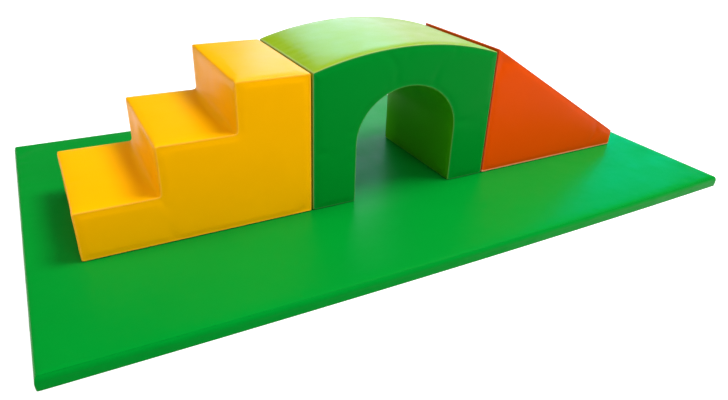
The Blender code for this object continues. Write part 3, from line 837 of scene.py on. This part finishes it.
def scaled(tint, factor):
    return (*(min(1.0, part * factor) for part in tint), 1)


def new_material(name):
    """An empty material with its output and a shader, and the coordinates of the object."""
    material = bpy.data.materials.new(name)
    material.use_nodes = True
    tree = material.node_tree
    tree.nodes.clear()
    shader = add_node(tree, "ShaderNodeBsdfPrincipled")
    output = add_node(tree, "ShaderNodeOutputMaterial")
    tree.links.new(shader.outputs["BSDF"], output.inputs["Surface"])
    place = add_node(tree, "ShaderNodeTexCoord").outputs["Object"]
    return material, tree, shader, place


def computed(tree, operation, first, second):
    return add_node(tree, "ShaderNodeMath", {0: first, 1: second}, operation=operation).outputs[0]


def value_range(tree, value, span, goal):
    """Maps a span of values on another one."""
    ends = {"From Min": span[0], "From Max": span[1], "To Min": goal[0], "To Max": goal[1]}
    return add_node(tree, "ShaderNodeMapRange", {"Value": value, **ends}).outputs["Result"]


def noise_at(tree, place, size, detail=2.0):
    """Noise with features of a given size."""
    inputs = {"Vector": place, "Scale": 1 / size, "Detail": detail}
    return add_node(tree, "ShaderNodeTexNoise", inputs).outputs["Fac"]


def cells_at(tree, place, size, feature="F1"):
    inputs = {"Vector": place, "Scale": 1 / size}
    return add_node(tree, "ShaderNodeTexVoronoi", inputs, feature=feature).outputs["Distance"]


def ribs_at(tree, place, size, distortion=0.0):
    inputs = {"Vector": place, "Scale": 1 / size, "Distortion": distortion}
    options = {"bands_direction": "DIAGONAL"}
    return add_node(tree, "ShaderNodeTexWave", inputs, **options).outputs["Fac"]


def mixed(tree, factor, first, second):
    """A mix of two colours. A mix node's colour sockets come after those of its other kinds."""
    inputs = {0: factor, 6: first, 7: second}
    return add_node(tree, "ShaderNodeMix", inputs, data_type="RGBA").outputs[2]


def two_tone(tree, factor, tint, kind):
    """A tint that goes from one share of its brightness to another."""
    low, high = TONE_SHARES[kind]
    return mixed(tree, factor, scaled(tint, low), scaled(tint, high))


def bumped(tree, height, distance, strength=1.0, normal=None):
    inputs = {"Height": height, "Distance": distance, "Strength": strength}
    if normal:
        inputs["Normal"] = normal
    return add_node(tree, "ShaderNodeBump", inputs).outputs["Normal"]


def link_finish(tree, shader, finish, rough, normal):
    """Links the colour, the roughness and the relief of a finish to its shader."""
    for name, socket in (("Base Color", finish), ("Roughness", rough), ("Normal", normal)):
        tree.links.new(socket, shader.inputs[name])


def with_base_highlight(tree, place, seam, finish):
    """A finish with a painted highlight: a pale band where the slide's lowest seam lies on the mat.
    """
    height = add_node(tree, "ShaderNodeSeparateXYZ", {"Vector": place}).outputs["Z"]
    base = outer_box("slide")[0].z
    low = value_range(tree, height, [base + rise for rise in BASE_HIGHLIGHT_HEIGHTS], (1.0, 0.0))
    near = value_range(tree, seam, BASE_HIGHLIGHT_REACHES, (BASE_HIGHLIGHT_SHARE, 0.0))
    both = computed(tree, "MULTIPLY", low, near)
    return mixed(tree, both, finish, scaled(bpy.context.scene.climber_colours.scuff, 1))


def vinyl_material(name, tint, gloss=0.34, shine=0.16, worn_and_highlight=0.07, scuff=False):
    """Coated fabric: a fine pressed grain, slow waves, and lighter edges at its seams, partly wear
    and partly a painted highlight.
    """
    material, tree, shader, place = new_material(name)
    finish = two_tone(tree, noise_at(tree, place, VINYL_TONES, detail=3), tint, "vinyl")
    seam = add_node(tree, "ShaderNodeAttribute", attribute_name="seam_distance").outputs["Fac"]
    # Paler near a seam: partly wear, partly a painted highlight on the seam's rounded edge
    rubbed = value_range(tree, seam, (0.0, WEAR_AND_HIGHLIGHT_REACH), (WEAR_AND_HIGHLIGHT_SHARE, 0.0))
    pale = tuple(part + (1 - part) * worn_and_highlight for part in tint)
    finish = mixed(tree, rubbed, finish, (*pale, 1))
    # Painted highlight along the slide's lowest seam
    if scuff:
        finish = with_base_highlight(tree, place, seam, finish)
    patches = noise_at(tree, place, VINYL_PATCHES, detail=4)
    glosses = [gloss + spread for spread in VINYL_GLOSS_SPREAD]
    rough = value_range(tree, patches, NOISE_SPAN, glosses)
    (waves, wave_height), (grain, grain_height) = VINYL_WAVES, VINYL_GRAIN
    wavy = bumped(tree, noise_at(tree, place, waves, detail=1), wave_height, VINYL_RELIEF_SHARE)
    cells = cells_at(tree, place, grain, "SMOOTH_F1")
    pressed = bumped(tree, cells, grain_height, VINYL_RELIEF_SHARE, wavy)
    link_finish(tree, shader, finish, rough, pressed)
    shader.inputs["Specular IOR Level"].default_value = shine
    shader.inputs["Specular Tint"].default_value = scaled(tint, 1)
    return material


def anti_slip_material(tint):
    """Rubbery underside with small raised dots."""
    material, tree, shader, place = new_material("anti_slip_vinyl")
    size, height = ANTI_SLIP_DOTS
    dots = value_range(tree, cells_at(tree, place, size), DOT_SPAN, (1.0, 0.0))
    finish = two_tone(tree, dots, tint, "anti_slip")
    patches = noise_at(tree, place, ANTI_SLIP_PATCHES)
    rough = value_range(tree, patches, NOISE_SPAN, ROUGHNESS["anti_slip"])
    link_finish(tree, shader, finish, rough, bumped(tree, dots, height, RELIEF_SHARE))
    return material


def foam_material(tint):
    """Cut foam with open cells of several sizes."""
    material, tree, shader, place = new_material("foam")
    (lumps, lump_height), (cell, cell_height) = FOAM_LUMPS, FOAM_CELLS
    cells = cells_at(tree, place, cell)
    finish = two_tone(tree, noise_at(tree, place, FOAM_TONES, detail=4), tint, "foam")
    rough = value_range(tree, cells, CELL_SPAN, ROUGHNESS["foam"])
    coarse = bumped(tree, noise_at(tree, place, lumps, detail=3), lump_height, LUMP_RELIEF_SHARE)
    fine = bumped(tree, cells, cell_height, RELIEF_SHARE, coarse)
    link_finish(tree, shader, finish, rough, fine)
    return material


def fuzzy_material(tint):
    """Hook-and-loop: a field of tiny loops."""
    material, tree, shader, place = new_material("hook_and_loop")
    size, height = STRIP_LOOPS
    loops = cells_at(tree, place, size)
    finish = two_tone(tree, loops, tint, "strip")
    rough = value_range(tree, loops, CELL_SPAN, ROUGHNESS["strip"])
    link_finish(tree, shader, finish, rough, bumped(tree, loops, height))
    return material


def tape_material(tint):
    """Woven zip tape with fine ribs along it."""
    material, tree, shader, place = new_material("zip_tape")
    size, height = TAPE_WEAVE
    weave = ribs_at(tree, place, size, distortion=0.4)
    finish = two_tone(tree, weave, tint, "tape")
    rough = value_range(tree, noise_at(tree, place, size), NOISE_SPAN, ROUGHNESS["tape"])
    link_finish(tree, shader, finish, rough, bumped(tree, weave, height, RELIEF_SHARE))
    return material


def thread_material(name, tint):
    """Sewing thread with a twist."""
    material, tree, shader, place = new_material(name)
    size, height = THREAD_TWIST
    twist = ribs_at(tree, place, size)
    finish = two_tone(tree, twist, tint, "thread")
    rough = value_range(tree, twist, (0.0, 1.0), ROUGHNESS["thread"])
    link_finish(tree, shader, finish, rough, bumped(tree, twist, height, RELIEF_SHARE))
    return material


def metal_material(tint):
    """Cast and plated zip metal, rubbed on its edges."""
    material, tree, shader, place = new_material("zip_metal")
    size, height = METAL_PATCHES
    patches = noise_at(tree, place, size, detail=4)
    finish = two_tone(tree, patches, tint, "metal")
    rough = value_range(tree, patches, NOISE_SPAN, ROUGHNESS["metal"])
    link_finish(tree, shader, finish, rough, bumped(tree, patches, height, METAL_RELIEF_SHARE))
    shader.inputs["Metallic"].default_value = 1.0
    return material


def new_finish(name):
    """Makes the finish of a material slot. Thread is a little paler than its vinyl."""
    tints = bpy.context.scene.climber_colours
    if name.endswith("_thread"):
        vinyl = getattr(tints, name.removesuffix("_vinyl_thread"))
        return thread_material(name, [part + (1 - part) * PALE_THREAD_SHARE for part in vinyl])
    if name in VINYLS:
        return vinyl_material(name, getattr(tints, name.removesuffix("_vinyl")), **VINYLS[name])
    makers = {
        "anti_slip_vinyl": (anti_slip_material, tints.anti_slip),
        "foam": (foam_material, tints.foam),
        "hook_and_loop": (fuzzy_material, tints.strip),
        "zip_tape": (tape_material, tints.tape),
        "zip_metal": (metal_material, tints.metal),
    }
    make, tint = makers[name]
    return make(tint)


def material_named(name):
    """The finish of one of the record's material slots, made when it is first asked for."""
    finish = bpy.data.materials.get(f"{name}_finish")
    if not finish:
        finish = new_finish(name)
        finish.name = f"{name}_finish"
    return finish


# The padded pieces


def slot_of(node):
    """The material slot that the record gives to a part of the frame."""
    return next(row["material_slot"] for row in frame["record"]["subparts"] if row["node"] == node)


def outer_box(owner):
    """The lowest and highest corner of the outside of a padded piece's cover."""
    low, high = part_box(f"{owner}_foam_core")
    gap = Vector((1, 1, 1)) * bpy.context.scene.climber_shapes.core_gap
    return Vector(low) - gap, Vector(high) + gap


def zip_box(owner):
    """The opening over a zip, which is as long as its tape."""
    low, high = (Vector(corner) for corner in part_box(f"{owner}_zip_chain"))
    middle = (low + high) / 2
    slot = bpy.context.scene.climber_seams.zip_slot
    along = 2 if high.z - low.z > high.x - low.x else 0
    across = 0 if along == 2 else 2
    low[across] = middle[across] - slot
    high[across] = middle[across] + slot
    return low, high


def corner_at(x, z, radius=0.0, swell=0.0, seam=False):
    """A corner, or without a radius a point where a column of a cover's faces has to start."""
    return Corner(Vector((x, z)), radius, swell, seam)


def upright_form(owner, corners):
    low, high = outer_box(owner)
    half = (high.y - low.y) / 2
    shapes = bpy.context.scene.climber_shapes
    spacing = bpy.context.scene.climber_covers.spacing
    band = even_band(half, shapes.edge_radius, spacing)
    edges = (shapes.edge_radius, shapes.edge_radius)
    steps = edge_steps(corners, spacing)
    return Form(corners, steps, low.y + half, half, edges, shapes.inner_fill, band, True)


def stairs_corners(shapes):
    """The stepped side of the stairs, from the front of the base round anticlockwise."""
    low, high = outer_box("stairs")
    zip_low, zip_high = zip_box("stairs")
    low.x -= shapes.stairs_bulge
    going = (high.x - low.x) / STEP_COUNT
    radius = shapes.corner_radius
    top = low.z + STEP_COUNT * shapes.step_rise
    corners = [
        corner_at(low.x, low.z, radius, seam=True),
        corner_at(zip_low.x, low.z),
        corner_at(zip_high.x, low.z),
        corner_at(high.x, low.z, radius, seam=True),
        corner_at(high.x, top, radius, shapes.tread_crown, seam=True),
    ]
    for step in reversed(range(1, STEP_COUNT)):
        riser = low.x + step * going
        tread = low.z + step * shapes.step_rise
        corners.append(corner_at(riser, tread + shapes.step_rise, radius, -shapes.riser_pull))
        corners.append(corner_at(riser, tread, shapes.inner_radius, shapes.tread_crown))
    corners.append(corner_at(low.x, low.z + shapes.step_rise, radius, -shapes.riser_pull))
    return corners


def opening_corners(middle, foot, shapes):
    """The half ellipse over the tunnel's opening, from left to right."""
    corners = []
    for step in range(OPENING_STEPS + 1):
        turn = pi - pi * step / OPENING_STEPS
        along = middle + shapes.opening_width / 2 * cos(turn)
        up = foot + shapes.opening_spring + shapes.opening_arch_rise * sin(turn)
        corners.append(corner_at(along, up))
    return corners


def arch_corners(middle, half, end, rise):
    """The arc of the tunnel's top, from right to left, clear of its two rounded ends."""
    radius = (half**2 + rise**2) / (2 * rise)
    corners = []
    for step in range(2, ARCH_STEPS - 1):
        along = half - 2 * half * step / ARCH_STEPS
        up = end + rise - radius + sqrt(radius**2 - along**2)
        corners.append(corner_at(middle + along, up))
    return corners


def tunnel_corners(shapes):
    """The tunnel's side, from the left foot round anticlockwise."""
    low, high = outer_box("tunnel")
    zip_low, zip_high = zip_box("tunnel")
    middle = (low.x + high.x) / 2
    half = (high.x - low.x) / 2
    mouth = shapes.opening_width / 2
    end = low.z + STEP_COUNT * shapes.step_rise
    radius = shapes.corner_radius
    return [
        corner_at(low.x, low.z, radius, seam=True),
        corner_at(middle - mouth, low.z, shapes.foot_radius, seam=True),
        *opening_corners(middle, low.z, shapes),
        corner_at(middle + mouth, low.z, shapes.foot_radius, seam=True),
        corner_at(high.x, low.z, radius, seam=True),
        corner_at(high.x, end, radius, seam=True),
        *arch_corners(middle, half, end, shapes.arch_rise),
        corner_at(low.x, end, radius, seam=True),
        corner_at(low.x, zip_high.z),
        corner_at(low.x, zip_low.z),
    ]


def slide_corners(shapes):
    """The slide's side, from the foot of its tall end round anticlockwise."""
    low, high = outer_box("slide")
    zip_low, zip_high = zip_box("slide")
    top = low.z + STEP_COUNT * shapes.step_rise + shapes.slide_top_lip
    toe = low.z + shapes.slide_toe
    radius = shapes.corner_radius
    return [
        corner_at(low.x, low.z, radius, seam=True),
        corner_at(zip_low.x, low.z),
        corner_at(zip_high.x, low.z),
        corner_at(high.x, low.z, radius, seam=True),
        corner_at(high.x, toe, radius, shapes.tread_crown, seam=True),
        corner_at(low.x, top, shapes.slide_top_radius, seam=True),
    ]


def bow_corners(low, high, bow):
    """The mat's front edge, which swells out in its middle, from left to right."""
    corners = []
    for step in range(1, BOW_STEPS):
        along = step / BOW_STEPS
        swell = flat_arc(bow, along)
        corners.append(corner_at(low.x + (high.x - low.x) * along, low.y - swell))
    return corners


def mat_corners(shapes):
    """The mat from above, from its front left corner round anticlockwise."""
    low, high = outer_box("mat")
    zip_low, zip_high = zip_box("mat")
    low.x -= shapes.mat_bulge
    radius = shapes.mat_corner_radius
    return [
        corner_at(low.x, low.y, radius),
        *bow_corners(low, high, shapes.mat_bow),
        corner_at(high.x, low.y, radius),
        corner_at(high.x, high.y, radius),
        corner_at(zip_high.x, high.y),
        corner_at(zip_low.x, high.y),
        corner_at(low.x, high.y, radius),
    ]


def mat_form(corners):
    low, high = outer_box("mat")
    half = (high.z - low.z) / 2
    shapes = bpy.context.scene.climber_shapes
    edges = (shapes.mat_base_radius, shapes.mat_edge_radius)
    slot = bpy.context.scene.climber_seams.zip_slot
    steps = edge_steps(corners, bpy.context.scene.climber_covers.mat_spacing)
    return Form(corners, steps, low.z + half, half, edges, 0.0, (-slot, 0.0, slot), False)


def puff_of(panel):
    """How far a panel may stand off its foam. One that lies against something stays flat."""
    sizes = bpy.context.scene.climber_covers
    if panel.endswith(("base_panel", "end_panel")):
        return 0.0
    puffs = {
        "top_panel": sizes.mat_puff,
        "side_band": sizes.mat_puff / 2,
        "lining": sizes.lining_puff,
    }
    return puffs.get(panel, sizes.puff)


def padded_block(owner):
    """Everything that is known of one of the four padded pieces."""
    shapes = bpy.context.scene.climber_shapes
    flat_boxes = [zip_box(owner)]
    if owner == "mat":
        form = mat_form(mat_corners(shapes))
        flat_boxes += [outer_box(block) for block in PANELS if block != owner]
    else:
        outlines = {"stairs": stairs_corners, "tunnel": tunnel_corners, "slide": slide_corners}
        form = upright_form(owner, outlines[owner](shapes))
    panels = PANELS[owner]
    return Block(owner, form, panels, [puff_of(panel) for panel in panels], flat_boxes)


def side_insets(block):
    """How far in from the outline the rings of a side lie."""
    sizes = bpy.context.scene.climber_covers
    if block.name == "mat":
        return [sizes.border]
    low, high = zip_box("stairs")
    slot = bpy.context.scene.climber_seams.zip_slot
    middle = (low.z + high.z) / 2 - outer_box("stairs")[0].z
    return [middle - slot, middle + slot, middle + 2 * slot]


def make_cover(owner):
    """Puffs out the skin of a padded piece and sews it from its panels."""
    sizes = bpy.context.scene.climber_covers
    seams = bpy.context.scene.climber_seams
    block = padded_block(owner)
    spacing = sizes.mat_spacing if owner == "mat" else sizes.spacing
    skin = build_skin(block.form, spacing, side_insets(block))
    puff_out(skin, block, sizes)
    for label in range(len(block.panels)):
        sew_panel(skin, block, label, sizes, seams)
    skin.free()


def make_foam(owner):
    """The block of foam inside a cover."""
    sizes = bpy.context.scene.climber_covers
    block = padded_block(owner)
    shape = build_skin(block.form, sizes.foam_spacing, [sizes.border], sizes.foam_depth)
    for face in shape.faces:
        face.material_index = 0
    node = f"{owner}_foam_core"
    core = finish_piece(f"cut_{node}", shape, owner, "foam", material_named("foam"), node)


# Zips


def zip_place(owner):
    """Where a zip is: X along it to its closed end, Y out of the cover, and its length."""
    low, high = (Vector(corner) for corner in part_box(f"{owner}_zip_chain"))
    middle = (low + high) / 2
    middle.y = low.y + bpy.context.scene.climber_covers.vinyl
    size = high - low
    upright = size.z > size.x
    turn = Matrix.Rotation(pi / 2 if upright else 0.0, 4, "Y")
    return Matrix.Translation(middle) @ turn, max(size.x, size.z)


def add_tape(shape, length, seams):
    """Two woven tapes side by side, which dip under the cover beyond the slider's width."""
    half = seams.tape_width / 2
    edge = seams.gap
    slot = seams.zip_slot
    sink = seams.tape_sink
    profile = ((edge, -sink), (slot - 2 * sink, -sink), (slot, -2 * sink), (half, -2 * sink))
    for side in (-1, 1):
        rows = [
            [shape.verts.new((end * length / 2, up, side * across)) for across, up in profile]
            for end in (-1, 1)
        ]
        for step in range(len(profile) - 1):
            corners = [rows[0][step], rows[0][step + 1], rows[1][step + 1], rows[1][step]]
            shape.faces.new(corners if side > 0 else reversed(corners))


def wire_loop(shape, centre, radius, first, second):
    """The vertices round a wire at one place along it."""
    turns = [2 * pi * corner / WIRE_CORNERS for corner in range(WIRE_CORNERS)]
    spokes = [first * cos(turn) + second * sin(turn) for turn in turns]
    return [shape.verts.new(centre + radius * spoke) for spoke in spokes]


def wrap_wire(shape, loops):
    """The faces round a wire and over its two ends."""
    for near, far in zip(loops, loops[1:]):
        for corner in range(WIRE_CORNERS):
            after = (corner + 1) % WIRE_CORNERS
            shape.faces.new((near[corner], near[after], far[after], far[corner]))
    shape.faces.new(reversed(loops[0]))
    shape.faces.new(loops[-1])


def add_coil(shape, length, side, seams):
    """One side of a zip's coil: an unbroken wire that turns over its tape."""
    start = seams.coil_margin - length / 2
    end = length / 2 - seams.coil_stop
    turns = (end - start) / seams.coil_pitch
    steps = int(turns * COIL_TURN_STEPS)
    radius = seams.coil_wire / 2
    high = (seams.coil_height + seams.tape_sink) / 2 - radius
    wide = seams.coil_width / 2 - radius
    middle = side * (wide - radius)
    loops = []
    for step in range(steps + 1):
        turn = 2 * pi * step / COIL_TURN_STEPS
        place = start + (end - start) * step / steps + (seams.coil_pitch / 2 if side > 0 else 0.0)
        outward = Vector((0, sin(turn), side * cos(turn)))
        centre = Vector((place, high - seams.tape_sink + radius + high * sin(turn), 0))
        centre.z = middle + side * wide * cos(turn)
        loops.append(wire_loop(shape, centre, radius, outward, Vector((1, 0, 0))))
    wrap_wire(shape, loops)


def add_stitch(shape, middle, along, out, seams):
    """One stitch: a short thread that dives into the cover at both ends."""
    loops = []
    for place, thick, up in STITCH_ARC:
        centre = middle + along * place * seams.stitch_length / 2 + out * up * seams.thread
        loops.append(wire_loop(shape, centre, seams.thread / 2 * thick, out, along.cross(out)))
    wrap_wire(shape, loops)


def add_stitches(shape, length, seams):
    """A row of stitches all round the opening over a zip."""
    margin = seams.welt_width + seams.stitch_margin
    across = seams.zip_slot + margin
    along = length / 2 + margin
    turns = ((-1, -1), (1, -1), (1, 1), (-1, 1))
    corners = [Vector((along * first, 0, across * second)) for first, second in turns]
    out = Vector((0, 1, 0))
    for index, start in enumerate(corners):
        whole = corners[(index + 1) % len(corners)] - start
        count = int(whole.length / seams.stitch_pitch)
        for step in range(count):
            middle = start + whole * (step + 1 / 2) / count
            add_stitch(shape, middle, whole.normalized(), out, seams)


def make_tape(owner, place, length, seams):
    """The two woven tapes of a zip."""
    tape = bmesh.new()
    add_tape(tape, length, seams)
    tape.transform(place)
    chain = f"{owner}_zip_chain"
    finish = material_named("zip_tape")
    woven = finish_piece(f"woven_{owner}_zip_tape", tape, owner, "zip_tape", finish, chain)
    cloth = woven.modifiers.new("cloth", "SOLIDIFY")
    cloth.thickness = seams.tape_thickness


def make_coil(owner, place, length, seams):
    """The coil of a zip, with half of it on each tape."""
    coil = bmesh.new()
    for side in (-1, 1):
        add_coil(coil, length, side, seams)
    bmesh.ops.recalc_face_normals(coil, faces=coil.faces)
    coil.transform(place)
    chain = f"{owner}_zip_chain"
    finish = material_named("zip_tape")
    finish_piece(f"wound_{owner}_zip_coil", coil, owner, "zip_tape", finish, chain)


def make_stitches(owner, place, length, seams):
    """The stitches round a zip, in a thread for the vinyl that they go through."""
    thread = bmesh.new()
    add_stitches(thread, length, seams)
    thread.transform(place)
    slot = slot_of(f"{owner}_side_band" if owner == "mat" else f"{owner}_rear_panel")
    finish = material_named(f"{slot}_thread")
    finish_piece(f"{owner}_zip_stitches", thread, owner, slot, finish)


def finish_metal(owner, seams):
    """Gives the slider and the pull of a zip their finish and rubbed edges."""
    for part in ("slider", "pull"):
        node = frame["nodes"][f"{owner}_zip_{part}"]
        for holder in node.material_slots:
            holder.material = material_named("zip_metal")
        rubbed = node.modifiers.new("rubbed", "BEVEL")
        rubbed.width = seams.tape_thickness / 2
        rubbed.segments = 2
        rubbed.limit_method = "ANGLE"


def make_zip(owner):
    """All that a zip is made of, and the stitches that hold it."""
    seams = bpy.context.scene.climber_seams
    place, length = zip_place(owner)
    make_tape(owner, place, length, seams)
    make_coil(owner, place, length, seams)
    make_stitches(owner, place, length, seams)
    finish_metal(owner, seams)


# Hook-and-loop strips


def nap_height(place, at_edge, seams):
    """How high the fuzz stands at a place. It ends flat at the edges of its strip."""
    if at_edge:
        return 0.0
    tuft = noise.noise(place / seams.nap_spacing * TUFT_SCALE)
    return seams.nap * (1 + tuft) / 2


def add_nap(shape, low, high, side, seams):
    """One face of a strip as a field of tufts."""
    columns = int((high.y - low.y) / seams.nap_spacing)
    rows = int((high.z - low.z) / seams.nap_spacing)
    face = high.x - seams.nap if side > 0 else low.x + seams.nap
    lines = []
    for column in range(columns + 1):
        line = []
        for row in range(rows + 1):
            y = low.y + (high.y - low.y) * column / columns
            z = low.z + (high.z - low.z) * row / rows
            at_edge = column in (0, columns) or row in (0, rows)
            nap = nap_height(Vector((face, y, z)), at_edge, seams)
            line.append(shape.verts.new((face + side * nap, y, z)))
        lines.append(line)
    for near, far in zip(lines, lines[1:]):
        for row in range(rows):
            shape.faces.new((near[row], near[row + 1], far[row + 1], far[row]))


def make_strip(node):
    """One half of a hook-and-loop link, with fuzz on both of its faces."""
    seams = bpy.context.scene.climber_seams
    low, high = (Vector(corner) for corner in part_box(node))
    shape = bmesh.new()
    for side in (-1, 1):
        add_nap(shape, low, high, side, seams)
    bmesh.ops.bridge_loops(shape, edges=[edge for edge in shape.edges if edge.is_boundary])
    bmesh.ops.recalc_face_normals(shape, faces=shape.faces)
    owner = node.split("_")[0]
    finish = material_named("hook_and_loop")
    finish_piece(f"fuzzy_{node}", shape, owner, "hook_and_loop", finish, node)


# The stage


def floor_material():
    """A pale floor that keeps the object's shadow and shows white around it."""
    material, tree, shader, _ = new_material("pale_floor")
    shader.inputs["Base Color"].default_value = (0.5, 0.5, 0.5, 1)
    shader.inputs["Roughness"].default_value = 0.9
    shader.inputs["Specular IOR Level"].default_value = 0.0
    rays = add_node(tree, "ShaderNodeLightPath").outputs
    seen = rays["Is Camera Ray"]
    for kind in ("Is Glossy Ray", "Is Transmission Ray"):
        seen = computed(tree, "MAXIMUM", seen, rays[kind])
    glow = computed(tree, "MULTIPLY", seen, bpy.context.scene.climber_stage.floor_glow)
    shader.inputs["Emission Color"].default_value = (1, 1, 1, 1)
    tree.links.new(glow, shader.inputs["Emission Strength"])
    return material


def add_floor(size):
    shape = bmesh.new()
    bmesh.ops.create_grid(shape, x_segments=8, y_segments=8, size=size / 2)
    mesh = bpy.data.meshes.new("floor")
    shape.to_mesh(mesh)
    shape.free()
    mesh.materials.append(floor_material())
    floor = bpy.data.objects.new("floor", mesh)
    bpy.context.collection.objects.link(floor)


def add_world(strength):
    """A soft sky: white at the horizon, dim above it, and bright overhead."""
    world = bpy.data.worlds.new("soft_sky")
    world.use_nodes = True
    tree = world.node_tree
    tree.nodes.clear()
    way = add_node(tree, "ShaderNodeTexCoord").outputs["Generated"]
    height = add_node(tree, "ShaderNodeSeparateXYZ", {"Vector": way}).outputs["Z"]
    ramp = add_node(tree, "ShaderNodeValToRGB", {"Fac": height})
    for place, _ in SKY_LEVELS[1:-1]:
        ramp.color_ramp.elements.new(place)
    for stop, (place, level) in zip(ramp.color_ramp.elements, SKY_LEVELS):
        stop.position = place
        stop.color = (level, level, level, 1)
    inputs = {"Color": ramp.outputs["Color"], "Strength": strength}
    sky = add_node(tree, "ShaderNodeBackground", inputs)
    output = add_node(tree, "ShaderNodeOutputWorld")
    tree.links.new(sky.outputs["Background"], output.inputs["Surface"])
    bpy.context.scene.world = world


def add_lamp(lamp, strength):
    """A large soft rectangular lamp that faces the climber."""
    light = bpy.data.lights.new(f"{lamp.name}_lamp", "AREA")
    light.shape = "RECTANGLE"
    light.size, light.size_y = lamp.size
    light.energy = strength
    light.color = lamp.tint
    holder = bpy.data.objects.new(light.name, light)
    bpy.context.collection.objects.link(holder)
    holder.location = lamp.place
    holder.visible_glossy = lamp.mirrored
    way = LAMP_TARGET - holder.location
    holder.rotation_euler = way.to_track_quat("-Z", "Y").to_euler()


def add_camera(stage):
    """A camera that looks down on the object from the front left."""
    turn, dip, roll = stage.camera_heading, stage.camera_dip, stage.camera_roll
    forward = Vector((sin(turn) * cos(dip), cos(turn) * cos(dip), -sin(dip)))
    right = forward.cross(Vector((0, 0, 1))).normalized()
    up = right.cross(forward)
    leaning_right = cos(roll) * right + sin(roll) * up
    leaning_up = cos(roll) * up - sin(roll) * right
    axes = Matrix((leaning_right, leaning_up, -forward)).transposed().to_4x4()
    data = bpy.data.cameras.new("camera")
    data.lens = stage.lens
    camera = bpy.data.objects.new("camera", data)
    bpy.context.collection.objects.link(camera)
    camera.matrix_world = Matrix.Translation(stage.camera_place) @ axes
    bpy.context.scene.camera = camera


# Operators and their panel


class AddMatCover(Operator):
    """Sews the cover of the floor mat"""

    bl_idname = "climber.add_mat_cover"
    bl_label = "Mat cover"

    def execute(self, context):
        make_cover("mat")
        return {"FINISHED"}


class AddStairsCover(Operator):
    """Sews the cover of the stairs"""

    bl_idname = "climber.add_stairs_cover"
    bl_label = "Stairs cover"

    def execute(self, context):
        make_cover("stairs")
        return {"FINISHED"}


class AddTunnelCover(Operator):
    """Sews the cover and the lining of the tunnel bridge"""

    bl_idname = "climber.add_tunnel_cover"
    bl_label = "Tunnel cover"

    def execute(self, context):
        make_cover("tunnel")
        return {"FINISHED"}


class AddSlideCover(Operator):
    """Sews the cover of the slide wedge"""

    bl_idname = "climber.add_slide_cover"
    bl_label = "Slide cover"

    def execute(self, context):
        make_cover("slide")
        return {"FINISHED"}


class AddFoam(Operator):
    """Cuts the four blocks of foam"""

    bl_idname = "climber.add_foam"
    bl_label = "Foam blocks"

    def execute(self, context):
        for owner in PANELS:
            make_foam(owner)
        return {"FINISHED"}


class AddZips(Operator):
    """Sews in the four zips"""

    bl_idname = "climber.add_zips"
    bl_label = "Zips"

    def execute(self, context):
        for owner in PANELS:
            make_zip(owner)
        return {"FINISHED"}


class AddStrips(Operator):
    """Puts on the hook-and-loop strips between the blocks"""

    bl_idname = "climber.add_strips"
    bl_label = "Hook-and-loop strips"

    def execute(self, context):
        for node in sorted(frame["nodes"]):
            if node.endswith("_strip"):
                make_strip(node)
        return {"FINISHED"}


class SetStage(Operator):
    """Sets the floor, the lamps, the sky and the camera"""

    bl_idname = "climber.set_stage"
    bl_label = "Stage"

    def execute(self, context):
        stage = context.scene.climber_stage
        add_floor(stage.floor_size)
        add_world(stage.sky)
        for lamp in LAMPS:
            add_lamp(lamp, getattr(stage, f"{lamp.name}_power"))
        add_camera(stage)
        context.scene.view_settings.view_transform = "Standard"
        return {"FINISHED"}


OPERATORS = (
    AddMatCover,
    AddStairsCover,
    AddTunnelCover,
    AddSlideCover,
    AddFoam,
    AddZips,
    AddStrips,
    SetStage,
)


class ClimberPanel(Panel):
    """Lists what makes up the climber"""

    bl_idname = "VIEW3D_PT_climber"
    bl_label = "Foam climber"
    bl_space_type = "VIEW_3D"
    bl_region_type = "UI"
    bl_category = "Climber"

    def draw(self, context):
        for operator in OPERATORS:
            self.layout.operator(operator.bl_idname)
        for name in GROUPS:
            box = self.layout.box()
            group = getattr(context.scene, name)
            for prop in group.bl_rna.properties:
                if prop.identifier not in ("rna_type", "name"):
                    box.prop(group, prop.identifier)


GROUPS = {
    "climber_shapes": ClimberShapes,
    "climber_covers": ClimberCovers,
    "climber_seams": ClimberSeams,
    "climber_colours": ClimberColours,
    "climber_stage": ClimberStage,
}


def register():
    for kind in (*GROUPS.values(), *OPERATORS, ClimberPanel):
        bpy.utils.register_class(kind)
    for name, group in GROUPS.items():
        setattr(bpy.types.Scene, name, PointerProperty(type=group))


def unregister():
    for name in GROUPS:
        delattr(bpy.types.Scene, name)
    for kind in (ClimberPanel, *reversed(OPERATORS), *GROUPS.values()):
        bpy.utils.unregister_class(kind)


def main():
    register()
    for operator in OPERATORS:
        group, name = operator.bl_idname.split(".")
        getattr(getattr(bpy.ops, group), name)()


if __name__ == "__main__":
    main()
